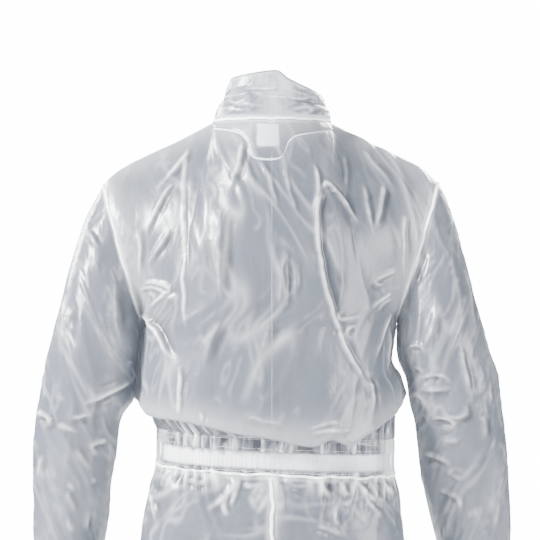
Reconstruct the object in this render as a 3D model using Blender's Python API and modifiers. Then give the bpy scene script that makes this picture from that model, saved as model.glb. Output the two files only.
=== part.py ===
"""A rain coverall of frosted clear film, hollow, in the pose in which it is worn.

Metres, +Z up. The front faces -Y and the left sleeve lies at +X. The origin is the middle of the
neck opening, level with the collar seam at the nape. Every panel is an open surface with a wall.
"""

import math

import bmesh
import bpy
import numpy as np
from mathutils import Vector

COLLECTION = "rain_coverall"

WALL = 0.0012                 # film panel, with its seam allowances
TRIM_WALL = 0.0010            # facing, label, tapes
SEAM = 0.0003                 # gap between two sewn pieces
LIE = 0.0003                  # gap between a piece and what it lies on
PIPING = 0.0013               # half width of the white seam bindings

# Panels, in flat faces across. A gathered edge has this many times as many.
BACK_COLUMNS = 24
FRONT_COLUMNS = 12
SLEEVE_COLUMNS = 14
LEG_COLUMNS = 16
COLLAR_COLUMNS = 24
ELASTIC_COLUMNS = 48
GATHER_SPLIT = 2
FACES_A_GATHER = 2

# Panels, in rows down: places on the shapes below.
YOKE_ROWS = tuple(k / 14 for k in range(15))
BLOUSE_ROWS = (0.22, 0.48, 0.76, 1.0)
ROLL_BENDS = (0.9, 1.8, 2.8)
HIP_ROWS = (0.22, 0.37, 0.53, 0.68, 0.81, 0.91, 0.97, 1.0)
LEG_ROWS = (0.840, 0.900, 0.975, 1.050, 1.105, 1.155, 1.230, 1.310, 1.375)
COLLAR_ROWS = (0.0, 0.12, 0.25, 0.42, 0.56, 0.74, 1.0)
ZIP_YOKE_ROWS = (0, 1, 2, 3, 5, 7, 9, 11, 14)

# Neck and shoulders
NECK_HALF_WIDTH = 0.0870
NECK_CENTRE_Y = -0.0060
NECK_BACK = 0.0710
NECK_FRONT = 0.0720
NECK_FRONT_DROP = 0.0580
NECK_FRONT_CURVE = 1.7
SHOULDER_SHARE = math.pi / 4  # of the turn from the side seam to the centre back
ARMHOLE_CENTRE_Y = -0.0060
ARMHOLE_DEPTH = 0.0580
BLADE_FULLNESS = 0.0100
SHOULDER_ROUND = 0.50         # how quickly the yoke reaches its full depth, at the sides
NAPE_ROUND = 0.35             # and how much more slowly at the centre
ARMHOLE_BULGE_CURVE = 3       # the armhole's depth dies away so towards the centre
ARMHOLE_EDGE_CURVE = 6
ROUNDNESS = 2.4               # of the body's cross-sections, 2 for an ellipse

# Blouse over the waist, and the waist
BLOUSE_ROLL = 0.0060
ZIP_STRAIGHT = 0.0550         # the blouse flattens out this near to the zip
ZIP_SINK = 1.5                # of the roll, that the fronts run down beside the zip
WAIST_TILT = 0.0450           # rise towards +X
CASING_TOP = -0.4645
CASING_BOTTOM = -0.5180
ELASTIC_TOP = -0.4843
ELASTIC_BOTTOM = -0.5111
WAIST_GATHER = 0.0026
HIP_GATHER = 0.0024
HIP_GATHER_LENGTH = 0.0300
HIP_GATHER_FADE = 0.06        # share of a trouser half, from the zip
HALF_GATHER = 0.5             # of a gather's depth, where it is dying away
UNDER_BLOUSE_DOWN = 0.55      # of the way from the roll to the waist band
UNDER_BLOUSE_WAVE = 0.6

# Legs
CROTCH_DROP = 0.8000
RISE_CURVE = 3.5
RISE_WIDTH_CURVE = 8          # how closely the rise keeps to the centre seam
TUBE_LEG_DEPTH = 0.1000
TUBE_SLEEVE_DEPTH = 0.0650
ANKLE_TOP = -1.4120
ANKLE_BOTTOM = -1.4370
ANKLE_GATHER = 0.0024
CUFF_GATHER = 0.0020

# Front zip
ZIP_HALF_OPENING = 0.0040
ZIP_PARTING_WIDTH = 0.0100    # over which the parting dies away into the panel
ZIP_END_DROP = 0.6600
ZIP_CLOSING = 0.0200          # below its end, over which the centre front draws together
CENTRE_SEAM_HALF = 0.0003
ZIP_TAPE_INNER = 0.0004
ZIP_TAPE_OUTER = 0.0057
ZIP_TAPE_DEPTH = 0.0022
ZIP_CHAIN_PROUD = 0.0004
ZIP_CHAIN_HALF = 0.0026
ZIP_CHAIN_WALL = 0.0018

ZIP_TOP = 0.985               # of the collar's height
ZIP_LEG_DROPS = (0.550, 0.585, 0.620, 0.660)
SLIDER_BELOW_TOP = 0.0120
SLIDER_WIDE = 0.0090
SLIDER_HIGH = 0.0120
SLIDER_THICK = 0.0020
ARCH_WIDE = 0.0024
ARCH_OUT = 0.0046
ARCH_ROOT = 0.0010
ARCH_HIGH = 0.0084
ARCH_HOLE_OUT = 0.0028
ARCH_HOLE_HIGH = 0.0058
PULL_WIDE = 0.0084
PULL_THICK = 0.0014
PULL_LONG = 0.0300
PULL_SLOT_WIDE = 0.0034
PULL_SLOT_LONG = 0.0095
PULL_AXIS_UP = -0.0017

# Seams and trims
SIDE_GAP = 0.0013             # turn left open at a side seam
ZIP_TURN = -math.pi / 2 + 1e-6
GATHER_FADE = 0.12            # turn over which gathers die away at the zip
DEEPEST_GATHER = 1.45
UNEVEN_BODY = ((0.25, 7.3, 1.1), (0.20, 17.7, 0.0))   # share of depth, times, start
UNEVEN_TUBE = (0.25, 4 * math.pi, 0.6)
ELASTIC_INSET = 0.06
ARMHOLE_GAP = 0.0006
SHOULDER_GAP = 0.0005         # each side of the shoulder seam, whose rims lean together
BINDING_DEPTH = 0.0040        # of the armhole bindings, inside the seam
BINDING_SET = 0.0018          # and on the body's side of it
SLEEVE_GATHER_ROW = 15.4
SLEEVE_CUFF_ROW = 16
SLEEVE_END_ROW = 17
ROW_GAP = 0.02
ANKLE_GATHER_DROP = 1.3900
SEAT_BINDING_START = 0.0155
SEAT_BINDING_LIFT_FADE = 8
COLLAR_BINDING_OUT = 0.0019
COLLAR_BINDING_UP = 0.0016
COLLAR_BINDING_INSET = 0.06   # turn left clear beside the zip
COLLAR_BUCKLE_START = 0.3     # the collar's front is smooth
FACING_LIE = 0.0006
FACING_START = 0.0012
LABEL_LIE = 0.0009
FACING_OUT = (0, 1, 0.5)
FOLD_TURN = 2                 # a sleeve's folds fade out on the side away from view

LEFT, RIGHT = 1, -1
SIDES = ((LEFT, "left"), (RIGHT, "right"))


class Table:
    """Rows of named columns, read along the first one on a smooth curve that never overshoots."""

    def __init__(self, columns, *rows):
        self.columns = columns.split()
        self.rows = np.array(rows, dtype=float)

    def __call__(self, column, key):
        keys = self.rows[:, 0]
        values = self.rows[:, self.columns.index(column)]
        key = np.clip(np.asarray(key, dtype=float), keys[0], keys[-1])
        steps = np.diff(keys)
        rates = np.diff(values) / steps
        slopes = np.zeros(len(keys))
        same_way = rates[:-1] * rates[1:] > 0
        means = 2 * rates[:-1] * rates[1:] / np.where(same_way, rates[:-1] + rates[1:], 1)
        slopes[1:-1] = np.where(same_way, means, 0)
        slopes[0], slopes[-1] = rates[0], rates[-1]
        i = np.clip(np.searchsorted(keys, key, side="right") - 1, 0, len(steps) - 1)
        t = (key - keys[i]) / steps[i]
        start = (1 + 2 * t) * (1 - t) ** 2 * values[i] + t * (1 - t) ** 2 * steps[i] * slopes[i]
        end = t * t * (3 - 2 * t) * values[i + 1] + t * t * (t - 1) * steps[i] * slopes[i + 1]
        return start + end


# The two armholes lie on slanted ellipses, from the shoulder point down to the armpit.
ARMHOLES = Table(
    "side    top_x   top_z    pit_x   pit_z",
    (RIGHT, 0.2494, -0.0914, 0.1856, -0.2944),
    (LEFT,  0.2523, -0.0940, 0.1958, -0.2970),
)

# Height of the shoulder seam over a straight line, from the neck (0) to the arm (1).
SHOULDER_LINE = Table(
    "share height",
    (0.00, 0.000),
    (0.30, 0.002),
    (0.60, 0.007),
    (0.85, 0.009),
    (1.00, 0.000),
)

# Bodice, from the armpit (0) to the blouse's hem (1): reach to each side, back and front.
BODICE = Table(
    "fall   left    right   back    front",
    (0.00, 0.1958, 0.1856, 0.1250, 0.1150),
    (0.08, 0.1960, 0.1853, 0.1252, 0.1151),
    (0.30, 0.1975, 0.1815, 0.1290, 0.1168),
    (0.55, 0.1985, 0.1785, 0.1350, 0.1200),
    (0.78, 0.1990, 0.1920, 0.1400, 0.1240),
    (1.00, 0.2030, 0.1985, 0.1440, 0.1260),
)

# Depth below the nape of the blouse's hem, across the back and the front.
HEM = Table(
    "x        back    front",
    (-0.198, 0.4120, 0.4120),
    (-0.177, 0.4390, 0.4300),
    (-0.138, 0.4620, 0.4420),
    (-0.113, 0.4740, 0.4470),
    (-0.088, 0.4650, 0.4460),
    (-0.060, 0.4760, 0.4500),
    (0.000,  0.4650, 0.4460),
    (0.054,  0.4570, 0.4500),
    (0.136,  0.4410, 0.4430),
    (0.180,  0.4360, 0.4320),
    (0.203,  0.4147, 0.4147),
)

# Waist and trousers down to the crotch: reach to each side, back and front.
HIPS = Table(
    "drop    left    right   back    front",
    (0.4500, 0.1690, 0.1810, 0.1180, 0.1120),
    (0.5180, 0.1705, 0.1825, 0.1170, 0.1110),
    (0.5480, 0.1815, 0.1890, 0.1220, 0.1130),
    (0.5820, 0.1900, 0.1925, 0.1280, 0.1150),
    (0.6130, 0.1945, 0.1958, 0.1310, 0.1160),
    (0.6800, 0.2000, 0.2000, 0.1330, 0.1150),
    (0.7400, 0.2015, 0.2015, 0.1290, 0.1120),
    (0.8000, 0.2000, 0.2000, 0.1180, 0.1050),
)

# Each leg below the crotch: its middle, half width, and half depth.
LEG = Table(
    "drop    mid_x   half_x  mid_y   half_y",
    (0.8000, 0.1000, 0.1000, 0.0065, 0.1115),
    (0.8600, 0.1060, 0.0950, 0.0060, 0.1010),
    (0.9500, 0.1120, 0.0885, 0.0040, 0.0930),
    (1.0500, 0.1180, 0.0810, 0.0000, 0.0850),
    (1.1200, 0.1210, 0.0780, -0.002, 0.0820),
    (1.2200, 0.1250, 0.0725, 0.0030, 0.0770),
    (1.3200, 0.1290, 0.0680, 0.0080, 0.0720),
    (1.3800, 0.1310, 0.0630, 0.0100, 0.0660),
    (1.4120, 0.1310, 0.0500, 0.0100, 0.0540),
    (1.4370, 0.1310, 0.0480, 0.0100, 0.0520),
)

# Sleeve sections: outer and inner ends in the view from behind, middle and half depth.
SLEEVE_LEFT = Table(
    "row outer_x outer_z  inner_x inner_z  mid_y   depth",
    (0,  0.2523, -0.0940, 0.1958, -0.2970, -0.006, 0.0580),
    (1,  0.2680, -0.1230, 0.1976, -0.3005, -0.005, 0.0620),
    (2,  0.2810, -0.1500, 0.1990, -0.3045, -0.002, 0.0650),
    (3,  0.2920, -0.1850, 0.1997, -0.3100, 0.001, 0.0670),
    (4,  0.3035, -0.2240, 0.2001, -0.3180, 0.005, 0.0690),
    (5,  0.3140, -0.2650, 0.2004, -0.3290, 0.009, 0.0700),
    (6,  0.3240, -0.3050, 0.2006, -0.3430, 0.011, 0.0710),
    (7,  0.3325, -0.3420, 0.2008, -0.3610, 0.012, 0.0710),
    (8,  0.3405, -0.3800, 0.2020, -0.3860, 0.011, 0.0710),
    (9,  0.3465, -0.4120, 0.2075, -0.4150, 0.008, 0.0690),
    (10, 0.3525, -0.4420, 0.2270, -0.4460, 0.003, 0.0660),
    (11, 0.3565, -0.4880, 0.2330, -0.4900, -0.006, 0.0620),
    (12, 0.3585, -0.5400, 0.2420, -0.5420, -0.019, 0.0590),
    (13, 0.3598, -0.6060, 0.2494, -0.6100, -0.036, 0.0560),
    (14, 0.3570, -0.6500, 0.2580, -0.6530, -0.047, 0.0530),
    (15, 0.3500, -0.6780, 0.2660, -0.6800, -0.054, 0.0470),
    (16, 0.3450, -0.6920, 0.2730, -0.6940, -0.058, 0.0410),
    (17, 0.3440, -0.7180, 0.2740, -0.7200, -0.063, 0.0400),
)
SLEEVE_RIGHT = Table(
    "row outer_x outer_z  inner_x inner_z  mid_y   depth",
    (0,  0.2494, -0.0914, 0.1856, -0.2944, -0.006, 0.0580),
    (1,  0.2620, -0.1180, 0.1868, -0.2980, -0.005, 0.0620),
    (2,  0.2715, -0.1470, 0.1874, -0.3020, -0.002, 0.0650),
    (3,  0.2820, -0.1840, 0.1874, -0.3080, 0.001, 0.0670),
    (4,  0.2930, -0.2240, 0.1870, -0.3160, 0.005, 0.0690),
    (5,  0.3040, -0.2660, 0.1866, -0.3270, 0.009, 0.0700),
    (6,  0.3135, -0.3040, 0.1868, -0.3400, 0.011, 0.0710),
    (7,  0.3230, -0.3400, 0.1905, -0.3570, 0.012, 0.0710),
    (8,  0.3368, -0.3790, 0.2005, -0.3840, 0.011, 0.0700),
    (9,  0.3425, -0.4180, 0.2060, -0.4200, 0.008, 0.0680),
    (10, 0.3470, -0.4500, 0.2150, -0.4530, 0.003, 0.0660),
    (11, 0.3530, -0.5000, 0.2205, -0.5030, -0.006, 0.0630),
    (12, 0.3572, -0.5480, 0.2290, -0.5510, -0.019, 0.0600),
    (13, 0.3612, -0.6060, 0.2436, -0.6110, -0.036, 0.0570),
    (14, 0.3585, -0.6500, 0.2560, -0.6530, -0.047, 0.0530),
    (15, 0.3510, -0.6780, 0.2650, -0.6800, -0.054, 0.0470),
    (16, 0.3460, -0.6920, 0.2720, -0.6940, -0.058, 0.0410),
    (17, 0.3450, -0.7180, 0.2730, -0.7200, -0.063, 0.0400),
)
SLEEVES = {LEFT: SLEEVE_LEFT, RIGHT: SLEEVE_RIGHT}

# Top edge of the collar, by its turn in degrees from the left side (back 90, right 180).
COLLAR_EDGE = Table(
    "turn   x       y       z",
    (-90,  0.0000, -0.0720, 0.0040),
    (-45,  0.0440, -0.0520, 0.0220),
    (0,    0.0640, -0.0040, 0.0520),
    (28,   0.0600, 0.0260, 0.0615),
    (55,   0.0400, 0.0460, 0.0660),
    (90,   -0.006, 0.0560, 0.0715),
    (108,  -0.024, 0.0540, 0.0600),
    (150,  -0.066, 0.0280, 0.0410),
    (180,  -0.0765, -0.004, 0.0341),
    (225,  -0.0500, -0.052, 0.0160),
    (270,  0.0000, -0.0720, 0.0040),
)

# How far the crumpled collar stands out, from its seam (0) to its edge (1).
COLLAR_BUCKLE = Table(
    "height out",
    (0.00, 0.0000),
    (0.22, 0.0035),
    (0.42, 0.0040),
    (0.56, -0.0030),
    (0.76, 0.0015),
    (1.00, 0.0000),
)

# Largest folds, in the view from behind (back, sleeves, seat) or in front: both ends, half width,
# and height, below 0 for a trough.
FOLD_COLUMNS = "x0 z0 x1 z1 width height"
BACK_FOLDS = Table(
    FOLD_COLUMNS,
    (-0.074, -0.104, -0.083, -0.254, 0.016, 0.0090),
    (-0.093, -0.107, -0.126, -0.155, 0.016, 0.0070),
    (-0.195, -0.141, -0.193, -0.245, 0.014, 0.0070),
    (0.192, -0.135, 0.190, -0.262, 0.014, 0.0070),
    (0.190, -0.305, 0.149, -0.345, 0.015, -0.0070),
    (-0.186, -0.220, -0.150, -0.227, 0.014, -0.0060),
    (0.129, -0.087, 0.129, -0.310, 0.014, 0.0050),
    (0.077, -0.187, 0.084, -0.265, 0.016, 0.0060),
    (0.043, -0.050, 0.062, -0.104, 0.016, 0.0050),
    (-0.058, -0.065, -0.054, -0.148, 0.016, -0.0050),
    (-0.060, -0.425, -0.140, -0.435, 0.014, -0.0060),
    (0.130, -0.395, 0.128, -0.425, 0.014, 0.0060),
)
FRONT_FOLDS = Table(
    FOLD_COLUMNS,
    (0.190, -0.150, 0.186, -0.270, 0.016, 0.0070),
    (-0.188, -0.145, -0.182, -0.265, 0.016, 0.0070),
    (0.180, -0.300, 0.110, -0.335, 0.016, -0.0070),
    (-0.172, -0.295, -0.100, -0.325, 0.016, -0.0070),
    (0.060, -0.110, 0.075, -0.230, 0.018, 0.0060),
    (-0.055, -0.115, -0.070, -0.245, 0.018, 0.0060),
    (0.110, -0.385, 0.060, -0.415, 0.015, 0.0060),
    (-0.120, -0.375, -0.070, -0.415, 0.015, 0.0060),
)
SLEEVE_FOLDS = {
    LEFT: Table(
        FOLD_COLUMNS,
        (0.212, -0.388, 0.280, -0.420, 0.015, 0.0090),
        (0.338, -0.432, 0.296, -0.440, 0.015, -0.0075),
        (0.290, -0.465, 0.250, -0.520, 0.015, 0.0070),
        (0.303, -0.538, 0.288, -0.600, 0.015, 0.0060),
        (0.275, -0.165, 0.252, -0.215, 0.016, 0.0060),
    ),
    RIGHT: Table(
        FOLD_COLUMNS,
        (-0.217, -0.393, -0.265, -0.389, 0.015, 0.0090),
        (-0.222, -0.441, -0.265, -0.446, 0.015, -0.0080),
        (-0.266, -0.472, -0.300, -0.462, 0.015, 0.0075),
        (-0.245, -0.547, -0.280, -0.572, 0.015, 0.0065),
        (-0.262, -0.165, -0.245, -0.225, 0.016, 0.0060),
    ),
}
LEG_FOLDS = Table(
    FOLD_COLUMNS,
    (0.046, -0.560, 0.090, -0.620, 0.022, 0.0060),
    (-0.050, -0.565, -0.085, -0.625, 0.022, 0.0060),
    (0.030, -0.775, 0.110, -0.715, 0.024, -0.0070),
    (-0.030, -0.775, -0.115, -0.720, 0.024, -0.0070),
    (0.060, -1.095, 0.160, -1.115, 0.024, -0.0100),
    (-0.060, -1.110, -0.155, -1.090, 0.024, -0.0100),
    (0.070, -1.150, 0.150, -1.165, 0.022, 0.0080),
    (-0.080, -1.160, -0.165, -1.150, 0.022, 0.0080),
    (0.095, -1.315, 0.170, -1.330, 0.024, 0.0080),
    (-0.095, -1.325, -0.165, -1.310, 0.024, 0.0080),
)

# Lower edge of the facing inside the back of the neck, by its turn round the neck in degrees.
FACING_EDGE = Table(
    "turn   depth",
    (10.0,  0.0100),
    (35.0,  0.0125),
    (57.0,  0.0189),
    (66.0,  0.0305),
    (72.5,  0.0537),
    (78.0,  0.0580),
    (88.0,  0.0592),
    (94.0,  0.0582),
    (98.5,  0.0545),
    (106.7, 0.0305),
    (114.0, 0.0232),
    (140.0, 0.0170),
    (170.0, 0.0130),
)
FACING_COLUMNS = 28
LABEL_TURN = (71.0, 97.5)
LABEL_DEPTH = (0.0030, 0.0425)


def clear_scene():
    for thing in list(bpy.data.objects):
        bpy.data.objects.remove(thing, do_unlink=True)


def make_collection(name):
    collection = bpy.data.collections.new(name)
    bpy.context.scene.collection.children.link(collection)
    return collection


def make_material(name, colour, roughness, metallic=0.0, alpha=1.0):
    material = bpy.data.materials.new(name)
    material.use_nodes = True
    shader = material.node_tree.nodes["Principled BSDF"]
    shader.inputs["Base Color"].default_value = (*colour, 1.0)
    shader.inputs["Roughness"].default_value = roughness
    shader.inputs["Metallic"].default_value = metallic
    shader.inputs["Alpha"].default_value = alpha
    material.diffuse_color = (*colour, alpha)
    return material


def film(name):
    return make_material(name, (0.78, 0.80, 0.83), 0.30, alpha=0.55)


def white_tape(name):
    return make_material(name, (0.93, 0.93, 0.94), 0.50)


# ---------------------------------------------------------------- shapes of the worn garment


def power(value, exponent):
    return np.sign(value) * np.abs(value) ** exponent


def ring(turn, left, right, back, front):
    """A rounded body section: turn 0 is the left side, a quarter turn on is the back."""
    cos, sin = np.cos(turn), np.sin(turn)
    reach_x = np.where(cos >= 0, left, right)
    reach_y = np.where(sin >= 0, back, front)
    return reach_x * power(cos, 2 / ROUNDNESS), reach_y * power(sin, 2 / ROUNDNESS)


def side_of(turn):
    return np.where(np.cos(turn) >= 0, LEFT, RIGHT)


def neck_curve(angle):
    """The neck seam: angle 0 is the left side, a quarter turn on is the nape."""
    cos, sin = np.cos(angle), np.sin(angle)
    reach = np.where(sin >= 0, NECK_BACK, NECK_FRONT)
    drop = np.where(sin >= 0, 0.0, NECK_FRONT_DROP * np.abs(sin) ** NECK_FRONT_CURVE)
    return NECK_HALF_WIDTH * cos, NECK_CENTRE_Y + reach * sin, -drop


def top_seams(turn):
    """The bodice's upper edge: shoulder seams near the sides, and the neck between them."""
    side = side_of(turn)
    from_side = np.abs(np.where(side == LEFT, turn, math.pi - turn))
    share = np.clip(1 - from_side / SHOULDER_SHARE, 0, 1)
    arm_x = side * ARMHOLES("top_x", side)
    arm_z = ARMHOLES("top_z", side)
    half_turn = np.clip(from_side / SHOULDER_SHARE - 1, 0, 1) * (math.pi / 2)
    angle = np.where(np.sin(turn) >= 0, half_turn, -half_turn)
    angle = np.where(side == LEFT, angle, math.pi - angle)
    neck_x, neck_y, neck_z = neck_curve(angle)
    x = neck_x + (arm_x - neck_x) * share
    y = neck_y + (ARMHOLE_CENTRE_Y - neck_y) * share
    z = neck_z + (arm_z - neck_z) * share + SHOULDER_LINE("height", share)
    return x, y, z


def zip_parting(turn, x):
    """The fronts stop short of the centre by half the zip's opening."""
    apart = ZIP_HALF_OPENING * np.exp(-np.abs(x) / ZIP_PARTING_WIDTH)
    return np.where(np.sin(turn) < 0, x + side_of(turn) * apart, x)


def pit_height(turn):
    toward_left = (1 + np.cos(turn)) / 2
    low, high = ARMHOLES("pit_z", RIGHT), ARMHOLES("pit_z", LEFT)
    return low + (high - low) * toward_left


def yoke(turn, down):
    """The bodice from its upper edge (0) to the armpits (1)."""
    top_x, top_y, top_z = top_seams(turn)
    low_x, low_y = ring(turn, *(BODICE(c, 0) for c in ("left", "right", "back", "front")))
    side = side_of(turn)
    pit_x = side * ARMHOLES("pit_x", side)
    low_x = low_x * pit_x / (side * np.where(side == LEFT, BODICE("left", 0), BODICE("right", 0)))
    q = (1 - np.cos(math.pi * down)) / 2
    centred = np.abs(np.sin(turn))
    from_side = np.abs(np.where(side == LEFT, turn, math.pi - turn)) / (math.pi / 2)
    exponent = SHOULDER_ROUND + NAPE_ROUND * centred ** 2
    rise = (1 - (1 - q) ** 2) ** exponent
    way = np.sign(np.sin(turn))
    level = np.sin(math.pi * q) ** 2
    at_edge = (1 - from_side) ** ARMHOLE_EDGE_CURVE
    bulge = ARMHOLE_DEPTH * (1 - from_side) ** ARMHOLE_BULGE_CURVE
    bulge = bulge * (np.sin(math.pi * down) * at_edge + level * (1 - at_edge))
    bulge = bulge + BLADE_FULLNESS * centred ** 2 * level
    x = top_x + (low_x - top_x) * q
    y = top_y + (low_y + ARMHOLE_CENTRE_Y * (1 - centred) - top_y) * rise
    y = y + way * bulge
    z = top_z + (pit_height(turn) - top_z) * q
    return zip_parting(turn, x), y, z


def zip_ease(turn):
    """1 over most of the body, falling to 0 at the zip, where nothing blouses."""
    x, _ = ring(turn, *(BODICE(c, 1) for c in ("left", "right", "back", "front")))
    return np.where(np.sin(turn) < 0, 1 - np.exp(-(x / ZIP_STRAIGHT) ** 2), 1.0)


def hem_drop(turn):
    x, _ = ring(turn, *(BODICE(c, 1) for c in ("left", "right", "back", "front")))
    return np.where(np.sin(turn) >= 0, HEM("back", x), HEM("front", x))


def side_set(turn, y):
    """The side seam lies a little forward of the body's middle."""
    return y + ARMHOLE_CENTRE_Y * (1 - np.abs(np.sin(turn)))


def blouse(turn, fall):
    """The bodice from the armpits (0) to the blouse's hem (1)."""
    ease = zip_ease(turn)
    front = BODICE("front", fall) * ease + BODICE("front", 0) * (1 - ease)
    x, y = ring(turn, BODICE("left", fall), BODICE("right", fall), BODICE("back", fall), front)
    z = pit_height(turn) + (BLOUSE_ROLL - hem_drop(turn) - pit_height(turn)) * fall
    return zip_parting(turn, x), side_set(turn, y), z


def roll(turn, bend):
    """The turn under at the blouse's hem, by its bend in radians from the outer side."""
    ease = zip_ease(turn)
    inset = BLOUSE_ROLL * (1 - np.cos(bend)) * ease
    front = BODICE("front", 1) * ease + BODICE("front", 0) * (1 - ease)
    reach = [BODICE("left", 1), BODICE("right", 1), BODICE("back", 1), front]
    x, y = ring(turn, *(r - inset for r in reach))
    sink = BLOUSE_ROLL * (np.sin(bend) * ease + ZIP_SINK * bend / math.pi * (1 - ease))
    return zip_parting(turn, x), side_set(turn, y), BLOUSE_ROLL - hem_drop(turn) - sink


def waist(turn, z, wave):
    """The waist band's surface at a height, before its tilt, with a wave standing out."""
    reach = [HIPS(c, -z) + wave for c in ("left", "right", "back", "front")]
    x, y = ring(turn, *reach)
    return zip_parting(turn, x), side_set(turn, y), z + WAIST_TILT * x


def centre_parting(share, drop):
    """Half the gap between the trouser halves: the zip's opening in front, else the seam's."""
    closing = np.clip((drop - ZIP_END_DROP) / ZIP_CLOSING, 0, 1)
    front = ZIP_HALF_OPENING + (CENTRE_SEAM_HALF - ZIP_HALF_OPENING) * closing
    return np.where(share < 0.5, front, CENTRE_SEAM_HALF)


def hips(side, share, down):
    """A trouser half from the waist (0) to the crotch (1): share 0 is centre front, 1 is back."""
    turn = math.pi * (share - 0.5)
    turn = np.where(side == LEFT, turn, math.pi - turn)
    drop = -CASING_BOTTOM + (CROTCH_DROP + CASING_BOTTOM) * down
    reach = [HIPS(c, drop) for c in ("left", "right", "back", "front")]
    x, y = ring(turn, *reach)
    y = side_set(turn, y)
    half = np.where(side == LEFT, reach[0], reach[1]) / 2
    depth = (reach[2] + reach[3]) / 2
    tube_x = side * half * (1 - np.cos(2 * math.pi * share))
    tube_y = (reach[2] - reach[3]) / 2 - depth * np.sin(2 * math.pi * share)
    down = np.clip(down, 0, 1)
    rise = 1 - (1 - down ** RISE_CURVE) ** (1 / RISE_CURVE)
    at_rise = np.abs(np.cos(math.pi * share)) ** RISE_WIDTH_CURVE
    closed = rise * at_rise + down ** 2 * (3 - 2 * down) * (1 - at_rise)
    x = x + (tube_x - x) * closed
    y = y + (tube_y - y) * closed
    x = x + side * centre_parting(share, drop) * np.exp(-np.abs(x) / ZIP_PARTING_WIDTH)
    tilt = WAIST_TILT * (1 - down) ** 2
    return x, y, -drop + tilt * x


def leg(side, share, drop):
    """A leg below the crotch: share 0 and 1 are the inseam, a half is the outer side."""
    around = 2 * math.pi * share
    x = side * (LEG("mid_x", drop) - LEG("half_x", drop) * np.cos(around))
    y = LEG("mid_y", drop) - LEG("half_y", drop) * np.sin(around)
    return x, y, -drop + 0 * around


def sleeve(side, share, row):
    """A sleeve's surface: share 0 and 1 are the underarm seam, a quarter is the back."""
    table = SLEEVES[side]
    around = 2 * math.pi * share
    outer_x, outer_z = table("outer_x", row), table("outer_z", row)
    inner_x, inner_z = table("inner_x", row), table("inner_z", row)
    x = (outer_x + inner_x) / 2 - (outer_x - inner_x) / 2 * np.cos(around)
    z = (outer_z + inner_z) / 2 - (outer_z - inner_z) / 2 * np.cos(around)
    y = table("mid_y", row) + table("depth", row) * np.sin(around)
    return side * x, y, z


def collar(angle, height):
    """The standing collar from its seam (0) to its edge (1), by its angle round the neck."""
    base_x, base_y, base_z = neck_curve(angle)
    degrees = np.degrees(angle)
    edge_x, edge_y, edge_z = (COLLAR_EDGE(c, degrees) for c in "xyz")
    x = base_x + (edge_x - base_x) * height
    y = base_y + (edge_y - base_y) * height
    z = base_z + SEAM + (edge_z - base_z) * height
    out = COLLAR_BUCKLE("out", height) * np.clip(COLLAR_BUCKLE_START + np.sin(angle), 0, 1)
    apart = np.exp(-np.abs(x) / ZIP_PARTING_WIDTH) * (np.sin(angle) < 0)
    x = x + np.where(np.cos(angle) >= 0, 1, -1) * ZIP_HALF_OPENING * apart
    return x + out * np.cos(angle), y + out * np.sin(angle), z


# ---------------------------------------------------------------- panels from those shapes


def points(surface):
    return np.stack(np.broadcast_arrays(*surface), axis=-1).astype(float)


def outward_normals(grid):
    """Unit normals of a grid of points, away from the middle of its rows."""
    down = np.gradient(grid, axis=0)
    across = np.gradient(grid, axis=1)
    facing = np.cross(across, down)
    facing = facing / np.maximum(np.linalg.norm(facing, axis=2, keepdims=True), 1e-12)
    away = grid - grid.mean(axis=1, keepdims=True)
    return facing * np.sign(np.sum(facing * away))


def folded(grid, folds, back=None):
    """The grid with its folds raised: ridges and troughs that fade at their ends."""
    height = np.zeros(grid.shape[:2])
    for x0, z0, x1, z1, width, rise in folds.rows:
        line = np.array((x1 - x0, z1 - z0))
        away = grid[..., (0, 2)] - np.array((x0, z0))
        along = (away @ line) / (line @ line)
        near = away - np.clip(along, 0, 1)[..., None] * line
        distance = np.linalg.norm(near, axis=-1)
        height += rise * np.exp(-(distance / width) ** 2)
    facing = outward_normals(grid)
    if back is not None:
        height *= np.clip(back * facing[..., 1] * FOLD_TURN, 0, 1)
    return grid + facing * height[..., None]


def on_grid(grid, row, column):
    """A point of the faceted grid, between its rows and columns."""
    r = np.clip(np.floor(row).astype(int), 0, grid.shape[0] - 2)
    c = np.clip(np.floor(column).astype(int), 0, grid.shape[1] - 2)
    s, t = (row - r)[..., None], (column - c)[..., None]
    upper = grid[r, c] * (1 - t) + grid[r, c + 1] * t
    lower = grid[r + 1, c] * (1 - t) + grid[r + 1, c + 1] * t
    return upper * (1 - s) + lower * s


def split_turns(turns, split):
    """The same turns with each span split evenly."""
    steps = np.arange(split * (len(turns) - 1) + 1) / split
    return np.interp(steps, np.arange(len(turns)), turns)


def loft(mesh, rows, closed):
    """Faces between rows of points. A row may have a whole number of times as many as the last."""
    made = [[mesh.verts.new(Vector(p)) for p in row] for row in rows]
    for upper, lower in zip(made, made[1:]):
        if len(upper) > len(lower):
            strip(mesh, lower, upper, closed, True)
        else:
            strip(mesh, upper, lower, closed, False)


def strip(mesh, few, many, closed, reverse):
    spans = len(few) if closed else len(few) - 1
    split = len(many) // spans if closed else (len(many) - 1) // spans
    middle = split // 2
    for i in range(spans):
        a, b = few[i], few[(i + 1) % len(few)]
        run = [many[(i * split + k) % len(many)] for k in range(split + 1)]
        if split == 1:
            faces = [(a, b, run[1], run[0])]
        else:
            faces = [(a, run[k + 1], run[k]) for k in range(middle)]
            faces += [(a, b, run[middle])]
            faces += [(b, run[k + 1], run[k]) for k in range(middle, split)]
        for corners in faces:
            mesh.faces.new(corners[::-1] if reverse else corners)


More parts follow.
